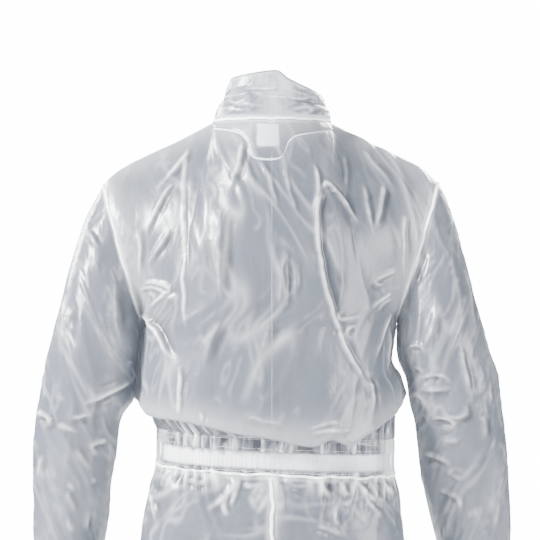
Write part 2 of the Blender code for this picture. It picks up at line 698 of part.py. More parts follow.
def face_outward(mesh, rows, outward):
    """Turns the faces to point along a direction, or else away from the middle of their rows."""
    mesh.normal_update()
    middle = Vector(np.mean([np.mean(row, axis=0) for row in rows], axis=0))
    total = 0.0
    for face in mesh.faces:
        away = Vector(outward) if outward else face.calc_center_median() - middle
        if not outward:
            away.z = 0.0
        total += face.normal.dot(away) * face.calc_area()
    if total < 0:
        bmesh.ops.reverse_faces(mesh, faces=mesh.faces)


def add_panel(name, rows, material, collection, closed=False, wall=WALL, outward=None):
    """A panel of film or tape: an open surface through the rows, with a wall on its inner side."""
    shape = bmesh.new()
    loft(shape, rows, closed)
    face_outward(shape, rows, outward)
    data = bpy.data.meshes.new(name)
    shape.to_mesh(data)
    shape.free()
    thing = bpy.data.objects.new(name, data)
    collection.objects.link(thing)
    data.materials.append(material)
    data.shade_smooth()
    solidify = thing.modifiers.new("wall", "SOLIDIFY")
    solidify.thickness = wall
    solidify.offset = -1
    return thing


def add_piping(name, path, material, collection, cyclic=False, radius=PIPING):
    """A round binding along a path."""
    curve = bpy.data.curves.new(name, "CURVE")
    curve.dimensions = "3D"
    curve.bevel_depth = radius
    curve.bevel_resolution = 0
    curve.use_fill_caps = True
    spline = curve.splines.new("POLY")
    spline.points.add(len(path) - 1)
    for point, place in zip(spline.points, path):
        point.co = (*place, 1.0)
    spline.use_cyclic_u = cyclic
    thing = bpy.data.objects.new(name, curve)
    collection.objects.link(thing)
    curve.materials.append(material)
    return thing


# ---------------------------------------------------------------- bodice and waist


def zip_fade(turn):
    """1 away from the zip and 0 at it, for the depth of gathers."""
    from_zip = np.where(np.cos(turn) >= 0, turn + math.pi / 2, 3 * math.pi / 2 - turn)
    return np.clip(np.abs(from_zip) / GATHER_FADE, 0, 1)


def gathers(turns, depth):
    """How far a gathered edge stands out at each of its points, a crest at the first one."""
    share = np.arange(len(turns)) / FACES_A_GATHER
    uneven = 1 + sum(part * np.sin(times * turns + start) for part, times, start in UNEVEN_BODY)
    return depth * uneven * np.cos(2 * math.pi * share) * zip_fade(turns)


def bodice_grid(turns, folds):
    rows = [points(yoke(turns, down)) for down in YOKE_ROWS]
    rows[0][:, 1] += SHOULDER_GAP * np.sign(np.sin(turns))
    rows += [points(blouse(turns, fall)) for fall in BLOUSE_ROWS]
    rows += [points(roll(turns, bend)) for bend in ROLL_BENDS]
    return folded(np.array(rows), folds)


def bodice_gathers(turns):
    """The bodice's last rows, from under the blouse to the top of the waist band."""
    fine = split_turns(turns, GATHER_SPLIT)
    start = points(roll(fine, ROLL_BENDS[-1]))
    wave = gathers(fine, WAIST_GATHER)
    middle = points(waist(fine, CASING_TOP + SEAM, UNDER_BLOUSE_WAVE * wave))
    end = points(waist(fine, CASING_TOP + SEAM, wave))
    return [start + (middle - start) * UNDER_BLOUSE_DOWN, end]


def back_turns():
    return np.linspace(SIDE_GAP, math.pi - SIDE_GAP, BACK_COLUMNS + 1)


def front_turns(side):
    turns = np.linspace(-SIDE_GAP, ZIP_TURN, FRONT_COLUMNS + 1)
    return turns if side == LEFT else math.pi - turns


def add_bodice(collection):
    rows = [*bodice_grid(back_turns(), BACK_FOLDS), *bodice_gathers(back_turns())]
    add_panel("bodice_back", rows, film("back_film"), collection)
    for side, name in SIDES:
        turns = front_turns(side)
        rows = [*bodice_grid(turns, FRONT_FOLDS), *bodice_gathers(turns)]
        add_panel(f"bodice_front_{name}", rows, film(f"front_{name}_film"), collection)


def band_turns():
    """Turns and gathers of the waist band, from the zip's left side round to its right side."""
    left, right = (split_turns(front_turns(side), GATHER_SPLIT) for side in (LEFT, RIGHT))
    back = split_turns(back_turns(), GATHER_SPLIT)
    turns = [left[::-1], back[1:-1], right]
    waves = [gathers(left, WAIST_GATHER)[::-1], gathers(back, WAIST_GATHER)[1:-1],
             gathers(right, WAIST_GATHER)]
    return np.concatenate(turns), np.concatenate(waves)


def add_waist(collection):
    turns, waves = band_turns()
    rows = [points(waist(turns, CASING_TOP, waves)), points(waist(turns, CASING_BOTTOM, waves))]
    add_panel("waist_casing", rows, film("casing_film"), collection)
    smooth = np.linspace(-math.pi / 2 + ELASTIC_INSET, 3 * math.pi / 2 - ELASTIC_INSET,
                         ELASTIC_COLUMNS + 1)
    inward = -(DEEPEST_GATHER * WAIST_GATHER + WALL + LIE)
    rows = [points(waist(smooth, z, inward)) for z in (ELASTIC_TOP, ELASTIC_BOTTOM)]
    add_panel("waist_elastic", rows, white_tape("elastic_white"), collection)
    outward = DEEPEST_GATHER * WAIST_GATHER + LIE + PIPING
    path = points(waist(smooth, CASING_BOTTOM, outward))
    add_piping("waist_seam_binding", path, white_tape("waist_binding_white"), collection)


# ---------------------------------------------------------------- sleeves


def tube_shares(columns, half_depth):
    """Shares round a tube whose two edges meet at its seam, apart by the lean of their rims."""
    gap = SEAM + 2 * WALL * math.sin(math.pi / columns)
    edge = gap / 2 / (2 * math.pi * half_depth)
    return np.linspace(edge, 1 - edge, columns + 1)


def tube_gathers(shares, depth):
    part, times, start = UNEVEN_TUBE
    wave = np.cos(2 * math.pi * np.arange(len(shares)) / FACES_A_GATHER)
    return depth * (1 + part * np.sin(times * shares + start)) * wave


def spread(row, amounts):
    """A row of points moved level, away from its middle."""
    away = row - row.mean(axis=0)
    away[:, 2] = 0
    return row + away / np.linalg.norm(away, axis=1, keepdims=True) * amounts[:, None]


def armhole_away(side):
    """The way out of the body across the armhole's plane."""
    top = np.array((side * ARMHOLES("top_x", side), 0, ARMHOLES("top_z", side)))
    pit = np.array((side * ARMHOLES("pit_x", side), 0, ARMHOLES("pit_z", side)))
    along = top - pit
    away = np.array((along[2], 0, -along[0])) * side
    return away / np.linalg.norm(away)


def add_sleeves(collection):
    for side, name in SIDES:
        shares = tube_shares(SLEEVE_COLUMNS, TUBE_SLEEVE_DEPTH)
        rows = [points(sleeve(side, shares, row)) for row in range(SLEEVE_CUFF_ROW)]
        grid = folded(np.array(rows), SLEEVE_FOLDS[side], back=1)
        grid[0] = rows[0] + ARMHOLE_GAP * armhole_away(side)
        fine = split_turns(shares, GATHER_SPLIT)
        wave = tube_gathers(fine, CUFF_GATHER)
        gathered = [spread(points(sleeve(side, fine, SLEEVE_GATHER_ROW)), HALF_GATHER * wave),
                    spread(points(sleeve(side, fine, SLEEVE_CUFF_ROW - ROW_GAP)), wave)]
        add_panel(f"sleeve_{name}", [*grid, *gathered], film(f"sleeve_{name}_film"), collection)
        ring_shares = np.arange(SLEEVE_COLUMNS * GATHER_SPLIT) / (SLEEVE_COLUMNS * GATHER_SPLIT)
        wave = tube_gathers(ring_shares, CUFF_GATHER)
        band = [spread(points(sleeve(side, ring_shares, row)), wave)
                for row in (SLEEVE_CUFF_ROW, SLEEVE_END_ROW)]
        add_panel(f"cuff_{name}", band, film(f"cuff_{name}_film"), collection, closed=True)


def add_armhole_bindings(collection):
    for side, name in SIDES:
        shares = np.arange(2 * SLEEVE_COLUMNS) / (2 * SLEEVE_COLUMNS)
        path = points(sleeve(side, shares, 0))
        inward = path.mean(axis=0) - path
        path = path + inward / np.linalg.norm(inward, axis=1, keepdims=True) * BINDING_DEPTH
        path = path - armhole_away(side) * BINDING_SET
        add_piping(f"armhole_binding_{name}", path, white_tape(f"armhole_{name}_white"),
                   collection, cyclic=True)


# ---------------------------------------------------------------- legs


def add_legs(collection):
    for side, name in SIDES:
        flat = np.linspace(0, 1, LEG_COLUMNS + 1)
        tube = tube_shares(LEG_COLUMNS, TUBE_LEG_DEPTH)
        fine = split_turns(flat, GATHER_SPLIT)
        wave = tube_gathers(fine, HIP_GATHER) * np.clip(fine / HIP_GATHER_FADE, 0, 1)
        start = SEAM / (CROTCH_DROP + CASING_BOTTOM)
        length = HIP_GATHER_LENGTH / (CROTCH_DROP + CASING_BOTTOM)
        top = [spread_level(side, fine, start, wave),
               spread_level(side, fine, length, HALF_GATHER * wave)]
        rows = [points(hips(side, flat, down)) for down in HIP_ROWS[:-1]]
        rows += [points(hips(side, tube, HIP_ROWS[-1]))]
        rows += [points(leg(side, tube, drop)) for drop in LEG_ROWS]
        grid = folded(np.array(rows), LEG_FOLDS)
        fine = split_turns(tube, GATHER_SPLIT)
        wave = tube_gathers(fine, ANKLE_GATHER)
        end = [spread(points(leg(side, fine, ANKLE_GATHER_DROP)), HALF_GATHER * wave),
               spread(points(leg(side, fine, -ANKLE_TOP - SEAM)), wave)]
        add_panel(f"leg_{name}", [*top, *grid, *end], film(f"leg_{name}_film"), collection)
        ring_shares = np.arange(LEG_COLUMNS * GATHER_SPLIT) / (LEG_COLUMNS * GATHER_SPLIT)
        wave = tube_gathers(ring_shares, ANKLE_GATHER)
        band = [spread(points(leg(side, ring_shares, -z)), wave) for z in (ANKLE_TOP, ANKLE_BOTTOM)]
        add_panel(f"ankle_{name}", band, film(f"ankle_{name}_film"), collection, closed=True)


def spread_level(side, shares, down, wave):
    """A row of the trousers near the waist, with its gathers standing out from the body."""
    row = points(hips(side, shares, down))
    away = row * np.array((1, 1, 0))
    return row + away / np.linalg.norm(away, axis=1, keepdims=True) * wave[:, None]


def add_seat_binding(collection):
    length = HIP_GATHER_LENGTH / (CROTCH_DROP + CASING_BOTTOM)
    downs = np.array((SEAT_BINDING_START, length, *HIP_ROWS[:-1]))
    path = np.array([points(hips(LEFT, np.array(1.0), down)) for down in downs])
    path[:, 0] = 0
    along = np.gradient(path, axis=0)
    away = np.stack((0 * along[:, 0], -along[:, 2], along[:, 1]), axis=1)
    away = away / np.linalg.norm(away, axis=1, keepdims=True)
    path = path + away * (PIPING + 2 * LIE)
    lift = HIP_GATHER * DEEPEST_GATHER * np.clip(1 - downs * SEAT_BINDING_LIFT_FADE, 0, 1)
    path[:, 1] += lift
    add_piping("seat_seam_binding", path, white_tape("seat_binding_white"), collection)


# ---------------------------------------------------------------- neck


def add_collar(collection):
    angles = np.linspace(-math.pi / 2, 3 * math.pi / 2, COLLAR_COLUMNS + 1)
    rows = [points(collar(angles, height)) for height in COLLAR_ROWS]
    add_panel("collar", rows, film("collar_film"), collection)
    angles = np.linspace(-math.pi / 2 + COLLAR_BINDING_INSET,
                         3 * math.pi / 2 - COLLAR_BINDING_INSET, COLLAR_COLUMNS + 1)
    path = points(neck_curve(angles))
    away = np.stack((np.cos(angles), np.sin(angles), 0 * angles), axis=1)
    path = path + away * COLLAR_BINDING_OUT + np.array((0, 0, COLLAR_BINDING_UP))
    add_piping("collar_seam_binding", path, white_tape("neck_binding_white"), collection)


class BackPanel:
    """The back's faceted surface, to lay the facing, its binding and the label inside it."""

    def __init__(self):
        self.grid = bodice_grid(back_turns(), BACK_FOLDS)
        self.facing = outward_normals(self.grid)

    def inside(self, neck_degrees, depth, under):
        """Points under the film, by their turn round the neck and depth below it, and normals."""
        turn = math.pi / 4 + np.radians(neck_degrees) / 2
        column = (turn - SIDE_GAP) / (math.pi - 2 * SIDE_GAP) * BACK_COLUMNS
        down = np.arccos(1 - 2 * depth / -pit_height(turn)) / math.pi
        row = np.interp(down, YOKE_ROWS, np.arange(len(YOKE_ROWS)))
        column, row = np.broadcast_arrays(column, row)
        place = on_grid(self.grid, row, column)
        facing = on_grid(self.facing, row, column)
        facing = facing / np.linalg.norm(facing, axis=-1, keepdims=True)
        return place - facing * under, facing


def add_neck_facing(collection):
    back = BackPanel()
    turns = np.linspace(*FACING_EDGE.rows[(0, -1), 0], FACING_COLUMNS + 1)
    edge = FACING_EDGE("depth", turns)
    under = WALL + FACING_LIE
    rows = [back.inside(turns, FACING_START + (edge - FACING_START) * s, under)[0]
            for s in (0, 0.5, 1)]
    add_panel("neck_facing", rows, film("facing_film"), collection, wall=TRIM_WALL,
              outward=FACING_OUT)
    path, facing = back.inside(turns, edge, under + PIPING)
    along = np.gradient(path, axis=0)
    beyond = np.cross(facing, along)
    beyond = beyond / np.linalg.norm(beyond, axis=1, keepdims=True)
    beyond *= np.sign(-beyond[len(beyond) // 2, 2])
    path = path + beyond * (PIPING + FACING_LIE)
    add_piping("neck_facing_binding", path, white_tape("facing_binding_white"), collection)
    turns = np.linspace(*LABEL_TURN, 6)
    under += TRIM_WALL + LABEL_LIE
    rows = [back.inside(turns, depth, under)[0] for depth in np.linspace(*LABEL_DEPTH, 5)]
    add_panel("size_label", rows, white_tape("label_white"), collection, wall=TRIM_WALL,
              outward=FACING_OUT)


# ---------------------------------------------------------------- front zip


def centre_front():
    """The garment's outer profile along the zip, from the collar's edge down, and its normals."""
    turn = np.array(ZIP_TURN)
    profile = [points(collar(turn, height)) for height in (ZIP_TOP, 0.0)]
    profile += [points(yoke(turn, YOKE_ROWS[row])) for row in ZIP_YOKE_ROWS[1:]]
    profile += [points(blouse(turn, fall)) for fall in BLOUSE_ROWS[1::2]]
    profile += [points(roll(turn, ROLL_BENDS[-1])), points(waist(turn, CASING_TOP, 0.0)),
                points(waist(turn, CASING_BOTTOM, 0.0))]
    for drop in ZIP_LEG_DROPS:
        down = (drop + CASING_BOTTOM) / (CROTCH_DROP + CASING_BOTTOM)
        profile.append(points(hips(LEFT, np.array(0.0), down)))
    profile = np.array(profile)
    profile[:, 0] = 0
    along = np.gradient(profile, axis=0)
    facing = np.stack((0 * along[:, 0], along[:, 2], -along[:, 1]), axis=1)
    return profile, facing / np.linalg.norm(facing, axis=1, keepdims=True)


def zip_strip(profile, facing, x0, x1, out):
    """Two long edges of a strip along the zip, this far out from the film's outer side."""
    line = profile + facing * out
    return [line + np.array((x, 0, 0)) for x in (x0, x1)]


def add_zip(collection):
    profile, facing = centre_front()
    for side, name in SIDES:
        rows = zip_strip(profile, facing, side * ZIP_TAPE_INNER, side * ZIP_TAPE_OUTER,
                         -ZIP_TAPE_DEPTH)
        add_panel(f"zip_tape_{name}", rows, white_tape(f"zip_tape_{name}_white"), collection,
                  wall=TRIM_WALL, outward=(0, -1, 0))
    rows = zip_strip(profile, facing, -ZIP_CHAIN_HALF, ZIP_CHAIN_HALF, ZIP_CHAIN_PROUD)
    add_panel("zip_chain", rows, make_material("zip_chain_white", (0.88, 0.88, 0.89), 0.35),
              collection, wall=ZIP_CHAIN_WALL, outward=(0, -1, 0))


def add_block(name, size, place):
    """A plain block by its size and middle."""
    bpy.ops.mesh.primitive_cube_add(size=1, location=place)
    block = bpy.context.object
    block.name = name
    block.scale = size
    bpy.ops.object.transform_apply(location=True, rotation=False, scale=True)
    return block


def combine(thing, others, operation):
    for other in others:
        boolean = thing.modifiers.new(operation, "BOOLEAN")
        boolean.operation = operation
        boolean.object = other
        bpy.context.view_layer.objects.active = thing
        bpy.ops.object.modifier_apply(modifier=boolean.name)
        bpy.data.objects.remove(other, do_unlink=True)


def seat_on_zip(thing, origin, tilt, material, collection):
    """Moves a piece modelled round the slider's middle on to the zip, its origin on its axis."""
    for shape_collection in list(thing.users_collection):
        shape_collection.objects.unlink(thing)
    collection.objects.link(thing)
    thing.data.materials.clear()
    thing.data.materials.append(material)
    thing.rotation_euler = (tilt, 0, 0)
    thing.location = origin


def add_slider(collection):
    """The slider with its arch, and the pull tab whose bar hangs in the arch."""
    profile, facing = centre_front()
    down = profile[1] - profile[0]
    tilt = math.atan2(down[1], -down[2])
    middle = profile[0] + down * (SLIDER_BELOW_TOP / np.linalg.norm(down))
    face = ZIP_CHAIN_PROUD + LIE + SLIDER_THICK
    origin = Vector(middle + facing[0] * face)
    plate = add_block("zip_slider", (SLIDER_WIDE, SLIDER_THICK, SLIDER_HIGH),
                      (0, SLIDER_THICK / 2, 0))
    arch = add_block("arch", (ARCH_WIDE, ARCH_OUT + ARCH_ROOT, ARCH_HIGH),
                     (0, (ARCH_ROOT - ARCH_OUT) / 2, 0))
    hole = add_block("hole", (ARCH_WIDE * 2, ARCH_HOLE_OUT, ARCH_HOLE_HIGH),
                     (0, -ARCH_HOLE_OUT / 2, 0))
    combine(arch, [hole], "DIFFERENCE")
    combine(plate, [arch], "UNION")
    metal = make_material("slider_metal", (0.72, 0.73, 0.75), 0.28, metallic=1.0)
    seat_on_zip(plate, origin, tilt, metal, collection)
    axis = Vector((0, -ARCH_HOLE_OUT / 2, PULL_AXIS_UP))
    tab = add_block("zip_pull", (PULL_WIDE, PULL_THICK, PULL_LONG + PULL_THICK / 2),
                    (0, 0, (PULL_THICK / 2 - PULL_LONG) / 2))
    slot = add_block("slot", (PULL_SLOT_WIDE, PULL_THICK * 3, PULL_SLOT_LONG),
                     (0, 0, -PULL_THICK / 2 - PULL_SLOT_LONG / 2))
    combine(tab, [slot], "DIFFERENCE")
    turned = Vector((axis.x, axis.y * math.cos(tilt) - axis.z * math.sin(tilt),
                     axis.y * math.sin(tilt) + axis.z * math.cos(tilt)))
    steel = make_material("pull_metal", (0.74, 0.75, 0.77), 0.25, metallic=1.0)
    seat_on_zip(tab, origin + turned, tilt, steel, collection)


def main():
    clear_scene()
    collection = make_collection(COLLECTION)
    add_bodice(collection)
    add_waist(collection)
    add_sleeves(collection)
    add_armhole_bindings(collection)
    add_legs(collection)
    add_seat_binding(collection)
    add_collar(collection)
    add_neck_facing(collection)
    add_zip(collection)
    add_slider(collection)


main()
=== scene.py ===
"""Dresses the rain coverall's frame: frosted film, seam tapes, elastic, label and zip.

Metres, +Z up. The front faces -Y and the left sleeve lies at +X. Each piece of film follows the
same shapes as its solid, at a finer pitch, with its creases raised on it.
"""

import math

import bmesh
import bpy
import numpy as np
from bpy.props import FloatProperty, FloatVectorProperty, IntProperty, PointerProperty
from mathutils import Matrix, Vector


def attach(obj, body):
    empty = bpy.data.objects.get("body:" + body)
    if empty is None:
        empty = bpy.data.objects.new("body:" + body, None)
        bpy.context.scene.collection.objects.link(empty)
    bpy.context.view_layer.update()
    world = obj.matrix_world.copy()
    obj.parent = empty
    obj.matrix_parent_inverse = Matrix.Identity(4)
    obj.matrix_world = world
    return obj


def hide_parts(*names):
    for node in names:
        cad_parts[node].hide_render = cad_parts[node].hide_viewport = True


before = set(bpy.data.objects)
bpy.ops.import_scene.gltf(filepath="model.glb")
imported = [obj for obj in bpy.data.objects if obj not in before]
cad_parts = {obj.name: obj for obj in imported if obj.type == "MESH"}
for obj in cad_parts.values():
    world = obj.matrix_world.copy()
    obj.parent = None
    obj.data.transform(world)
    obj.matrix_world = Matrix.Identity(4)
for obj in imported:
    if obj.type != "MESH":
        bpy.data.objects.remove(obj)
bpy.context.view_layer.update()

bl_info = {
    "name": "Rain Coverall",
    "version": (1, 0, 0),
    "blender": (4, 5, 0),
    "location": "3D View > Sidebar > Coverall",
    "description": "Dresses a rain coverall of frosted film around its frame",
    "category": "Add Mesh",
}

GARMENT = "garment"
LEFT, RIGHT = 1, -1
SIDES = ((LEFT, "left"), (RIGHT, "right"))
STEP = 0.00145                # the unit of the crease tables, across and down from the nape

# ---------------------------------------------------------------- sizes shared with the solids

SEAM = 0.0003
WALL = 0.0012
NECK_HALF_WIDTH = 0.0870
NECK_CENTRE_Y = -0.0060
NECK_BACK = 0.0710
NECK_FRONT = 0.0720
NECK_FRONT_DROP = 0.0580
NECK_FRONT_CURVE = 1.7
SHOULDER_SHARE = math.pi / 4
ARMHOLE_CENTRE_Y = -0.0060
ARMHOLE_DEPTH = 0.0580
BLADE_FULLNESS = 0.0100
SHOULDER_ROUND = 0.50
NAPE_ROUND = 0.35
ARMHOLE_BULGE_CURVE = 3
ARMHOLE_EDGE_CURVE = 6
ROUNDNESS = 2.4
BLOUSE_ROLL = 0.0060
ROLL_END = 2.8                # radians of turn under at the blouse's hem
ZIP_STRAIGHT = 0.0550
ZIP_SINK = 1.5
WAIST_TILT = 0.0450
CASING_TOP = -0.4645
CASING_BOTTOM = -0.5180
ELASTIC_TOP = -0.4843
ELASTIC_BOTTOM = -0.5111
WAIST_GATHER = 0.0026
GATHERS_BEHIND = 24
GATHERS_IN_FRONT = 12
GATHER_FADE = 0.12
UNEVEN_BODY = ((0.25, 7.3, 1.1), (0.20, 17.7, 0.0))
HIP_GATHER_LENGTH = 0.0340
CROTCH_DROP = 0.8000
RISE_CURVE = 3.5
RISE_WIDTH_CURVE = 8
ANKLE_TOP = 1.4120
ANKLE_BOTTOM = 1.4370
BAND_GATHER = 0.0021
ZIP_HALF_OPENING = 0.0040
ZIP_PARTING_WIDTH = 0.0100
ZIP_END_DROP = 0.6600
ZIP_CLOSING = 0.0200
ZIP_TOP = 0.985
CENTRE_SEAM_HALF = 0.0003
SIDE_GAP = 0.0013
ZIP_TURN = -math.pi / 2 + 1e-6
SLEEVE_BAND_ROW = 16
SLEEVE_END_ROW = 17
COLLAR_BUCKLE_START = 0.3

# ---------------------------------------------------------------- sizes of the film alone

# Lengths of film across and down each panel, which set how many points it has.
BACK_WIDTH = 0.54
FRONT_WIDTH = 0.27
YOKE_LENGTH = 0.31
BLOUSE_LENGTH = 0.17
ROLL_LENGTH = 0.022
TUCK_LENGTH = 0.030
SLEEVE_GIRTH = 0.43
SLEEVE_LENGTH = 0.64
LEG_GIRTH = 0.62
SEAT_LENGTH = 0.29
LEG_LENGTH = 0.62

TUCK_SLACK = 0.0012
PLEAT_RISE = 0.0012
ELBOW_DOWN = 0.34             # below the armhole, along the film
KNEE_DROP = 1.12              # below the nape
SLIT_DROP = 0.314             # where the left sleeve's inner side bulges to meet the bodice
BAND_STITCHES = (0.12, 0.5, 0.88)
FACING_UNDER = 0.0016         # inside the back's film
LABEL_UNDER = 0.0034
TAPE_BELOW = 0.0015           # the facing's tape, below its edge
ZIP_TAPE_UNDER = 0.0026       # inside the profile along the zip
TEETH_UNDER = 0.0005
TOOTH_REACH = 0.0011          # from the zip's middle to the middle of a tooth
PROFILE_STEP = 0.00256        # from point to point of the profile along the zip
CAMERA_MIDDLE = (2, -153)     # in STEPs, across and up from the nape
BACK_REACH = 0.10
FLOOR_HEIGHT = -1.46
LIT_PLACE = (0, 0, -0.3)


class Table:
    """Rows of named columns, read along the first one on a smooth curve that never overshoots."""

    def __init__(self, columns, *rows):
        self.columns = columns.split()
        self.rows = np.array(rows, dtype=float)

    def __call__(self, column, key):
        keys = self.rows[:, 0]
        values = self.rows[:, self.columns.index(column)]
        key = np.clip(np.asarray(key, dtype=float), keys[0], keys[-1])
        steps = np.diff(keys)
        rates = np.diff(values) / steps
        slopes = np.zeros(len(keys))
        same_way = rates[:-1] * rates[1:] > 0
        means = 2 * rates[:-1] * rates[1:] / np.where(same_way, rates[:-1] + rates[1:], 1)
        slopes[1:-1] = np.where(same_way, means, 0)
        slopes[0], slopes[-1] = rates[0], rates[-1]
        i = np.clip(np.searchsorted(keys, key, side="right") - 1, 0, len(steps) - 1)
        t = (key - keys[i]) / steps[i]
        start = (1 + 2 * t) * (1 - t) ** 2 * values[i] + t * (1 - t) ** 2 * steps[i] * slopes[i]
        end = t * t * (3 - 2 * t) * values[i + 1] + t * t * (t - 1) * steps[i] * slopes[i + 1]
        return start + end

    def each(self, key):
        """Every column after the first."""
        return [self(column, key) for column in self.columns[1:]]


ARMHOLES = Table(
    "side    top_x   top_z    pit_x   pit_z",
    (RIGHT, 0.2494, -0.0914, 0.1856, -0.2944),
    (LEFT,  0.2523, -0.0940, 0.1958, -0.2970),
)
SHOULDER_LINE = Table(
    "share height",
    (0.00, 0.000),
    (0.30, 0.002),
    (0.60, 0.007),
    (0.85, 0.009),
    (1.00, 0.000),
)
BODICE = Table(
    "fall   left    right   back    front",
    (0.00, 0.1958, 0.1856, 0.1250, 0.1150),
    (0.08, 0.1960, 0.1853, 0.1252, 0.1151),
    (0.30, 0.1975, 0.1815, 0.1290, 0.1168),
    (0.55, 0.1985, 0.1785, 0.1350, 0.1200),
    (0.78, 0.1990, 0.1920, 0.1400, 0.1240),
    (1.00, 0.2030, 0.1985, 0.1440, 0.1260),
)
HEM = Table(
    "x        back    front",
    (-0.198, 0.4120, 0.4120),
    (-0.177, 0.4390, 0.4300),
    (-0.138, 0.4620, 0.4420),
    (-0.113, 0.4740, 0.4470),
    (-0.088, 0.4650, 0.4460),
    (-0.060, 0.4760, 0.4500),
    (0.000,  0.4650, 0.4460),
    (0.054,  0.4570, 0.4500),
    (0.136,  0.4410, 0.4430),
    (0.180,  0.4360, 0.4320),
    (0.203,  0.4147, 0.4147),
)
HIPS = Table(
    "drop    left    right   back    front",
    (0.4500, 0.1690, 0.1810, 0.1180, 0.1120),
    (0.5180, 0.1705, 0.1825, 0.1170, 0.1110),
    (0.5480, 0.1815, 0.1890, 0.1220, 0.1130),
    (0.5820, 0.1900, 0.1925, 0.1280, 0.1150),
    (0.6130, 0.1945, 0.1958, 0.1310, 0.1160),
    (0.6800, 0.2000, 0.2000, 0.1330, 0.1150),
    (0.7400, 0.2015, 0.2015, 0.1290, 0.1120),
    (0.8000, 0.2000, 0.2000, 0.1180, 0.1050),
)
LEG = Table(
    "drop    mid_x   half_x  mid_y   half_y",
    (0.8000, 0.1000, 0.1000, 0.0065, 0.1115),
    (0.8600, 0.1060, 0.0950, 0.0060, 0.1010),
    (0.9500, 0.1120, 0.0885, 0.0040, 0.0930),
    (1.0500, 0.1180, 0.0810, 0.0000, 0.0850),
    (1.1200, 0.1210, 0.0780, -0.002, 0.0820),
    (1.2200, 0.1250, 0.0725, 0.0030, 0.0770),
    (1.3200, 0.1290, 0.0680, 0.0080, 0.0720),
    (1.3800, 0.1310, 0.0630, 0.0100, 0.0660),
    (1.4120, 0.1310, 0.0500, 0.0100, 0.0540),
    (1.4370, 0.1310, 0.0480, 0.0100, 0.0520),
)
SLEEVE_LEFT = Table(
    "row outer_x outer_z  inner_x inner_z  mid_y   depth",
    (0,  0.2523, -0.0940, 0.1958, -0.2970, -0.006, 0.0580),
    (1,  0.2680, -0.1230, 0.1976, -0.3005, -0.005, 0.0620),
    (2,  0.2810, -0.1500, 0.1990, -0.3045, -0.002, 0.0650),
    (3,  0.2920, -0.1850, 0.1997, -0.3100, 0.001, 0.0670),
    (4,  0.3035, -0.2240, 0.2001, -0.3180, 0.005, 0.0690),
    (5,  0.3140, -0.2650, 0.2004, -0.3290, 0.009, 0.0700),
    (6,  0.3240, -0.3050, 0.2006, -0.3430, 0.011, 0.0710),
    (7,  0.3325, -0.3420, 0.2008, -0.3610, 0.012, 0.0710),
    (8,  0.3405, -0.3800, 0.2020, -0.3860, 0.011, 0.0710),
    (9,  0.3465, -0.4120, 0.2075, -0.4150, 0.008, 0.0690),
    (10, 0.3525, -0.4420, 0.2270, -0.4460, 0.003, 0.0660),
    (11, 0.3565, -0.4880, 0.2330, -0.4900, -0.006, 0.0620),
    (12, 0.3585, -0.5400, 0.2420, -0.5420, -0.019, 0.0590),
    (13, 0.3598, -0.6060, 0.2494, -0.6100, -0.036, 0.0560),
    (14, 0.3570, -0.6500, 0.2580, -0.6530, -0.047, 0.0530),
    (15, 0.3500, -0.6780, 0.2660, -0.6800, -0.054, 0.0470),
    (16, 0.3450, -0.6920, 0.2730, -0.6940, -0.058, 0.0410),
    (17, 0.3440, -0.7180, 0.2740, -0.7200, -0.063, 0.0400),
)
SLEEVE_RIGHT = Table(
    "row outer_x outer_z  inner_x inner_z  mid_y   depth",
    (0,  0.2494, -0.0914, 0.1856, -0.2944, -0.006, 0.0580),
    (1,  0.2620, -0.1180, 0.1868, -0.2980, -0.005, 0.0620),
    (2,  0.2715, -0.1470, 0.1874, -0.3020, -0.002, 0.0650),
    (3,  0.2820, -0.1840, 0.1874, -0.3080, 0.001, 0.0670),
    (4,  0.2930, -0.2240, 0.1870, -0.3160, 0.005, 0.0690),
    (5,  0.3040, -0.2660, 0.1866, -0.3270, 0.009, 0.0700),
    (6,  0.3135, -0.3040, 0.1868, -0.3400, 0.011, 0.0710),
    (7,  0.3230, -0.3400, 0.1905, -0.3570, 0.012, 0.0710),
    (8,  0.3368, -0.3790, 0.2005, -0.3840, 0.011, 0.0700),
    (9,  0.3425, -0.4180, 0.2060, -0.4200, 0.008, 0.0680),
    (10, 0.3470, -0.4500, 0.2150, -0.4530, 0.003, 0.0660),
    (11, 0.3530, -0.5000, 0.2205, -0.5030, -0.006, 0.0630),
    (12, 0.3572, -0.5480, 0.2290, -0.5510, -0.019, 0.0600),
    (13, 0.3612, -0.6060, 0.2436, -0.6110, -0.036, 0.0570),
    (14, 0.3585, -0.6500, 0.2560, -0.6530, -0.047, 0.0530),
    (15, 0.3510, -0.6780, 0.2650, -0.6800, -0.054, 0.0470),
    (16, 0.3460, -0.6920, 0.2720, -0.6940, -0.058, 0.0410),
    (17, 0.3450, -0.7180, 0.2730, -0.7200, -0.063, 0.0400),
)
SLEEVES = {LEFT: SLEEVE_LEFT, RIGHT: SLEEVE_RIGHT}
COLLAR_EDGE = Table(
    "turn   x       y       z",
    (-90,  0.0000, -0.0720, 0.0040),
    (-45,  0.0440, -0.0520, 0.0220),
    (0,    0.0640, -0.0040, 0.0520),
    (28,   0.0600, 0.0260, 0.0615),
    (55,   0.0400, 0.0460, 0.0660),
    (90,   -0.006, 0.0560, 0.0715),
    (108,  -0.024, 0.0540, 0.0600),
    (150,  -0.066, 0.0280, 0.0410),
    (180,  -0.0765, -0.004, 0.0341),
    (225,  -0.0500, -0.052, 0.0160),
    (270,  0.0000, -0.0720, 0.0040),
)
COLLAR_BUCKLE = Table(
    "height out",
    (0.00, 0.0000),
    (0.22, 0.0035),
    (0.42, 0.0040),
    (0.56, -0.0030),
    (0.76, 0.0015),
    (1.00, 0.0000),
)
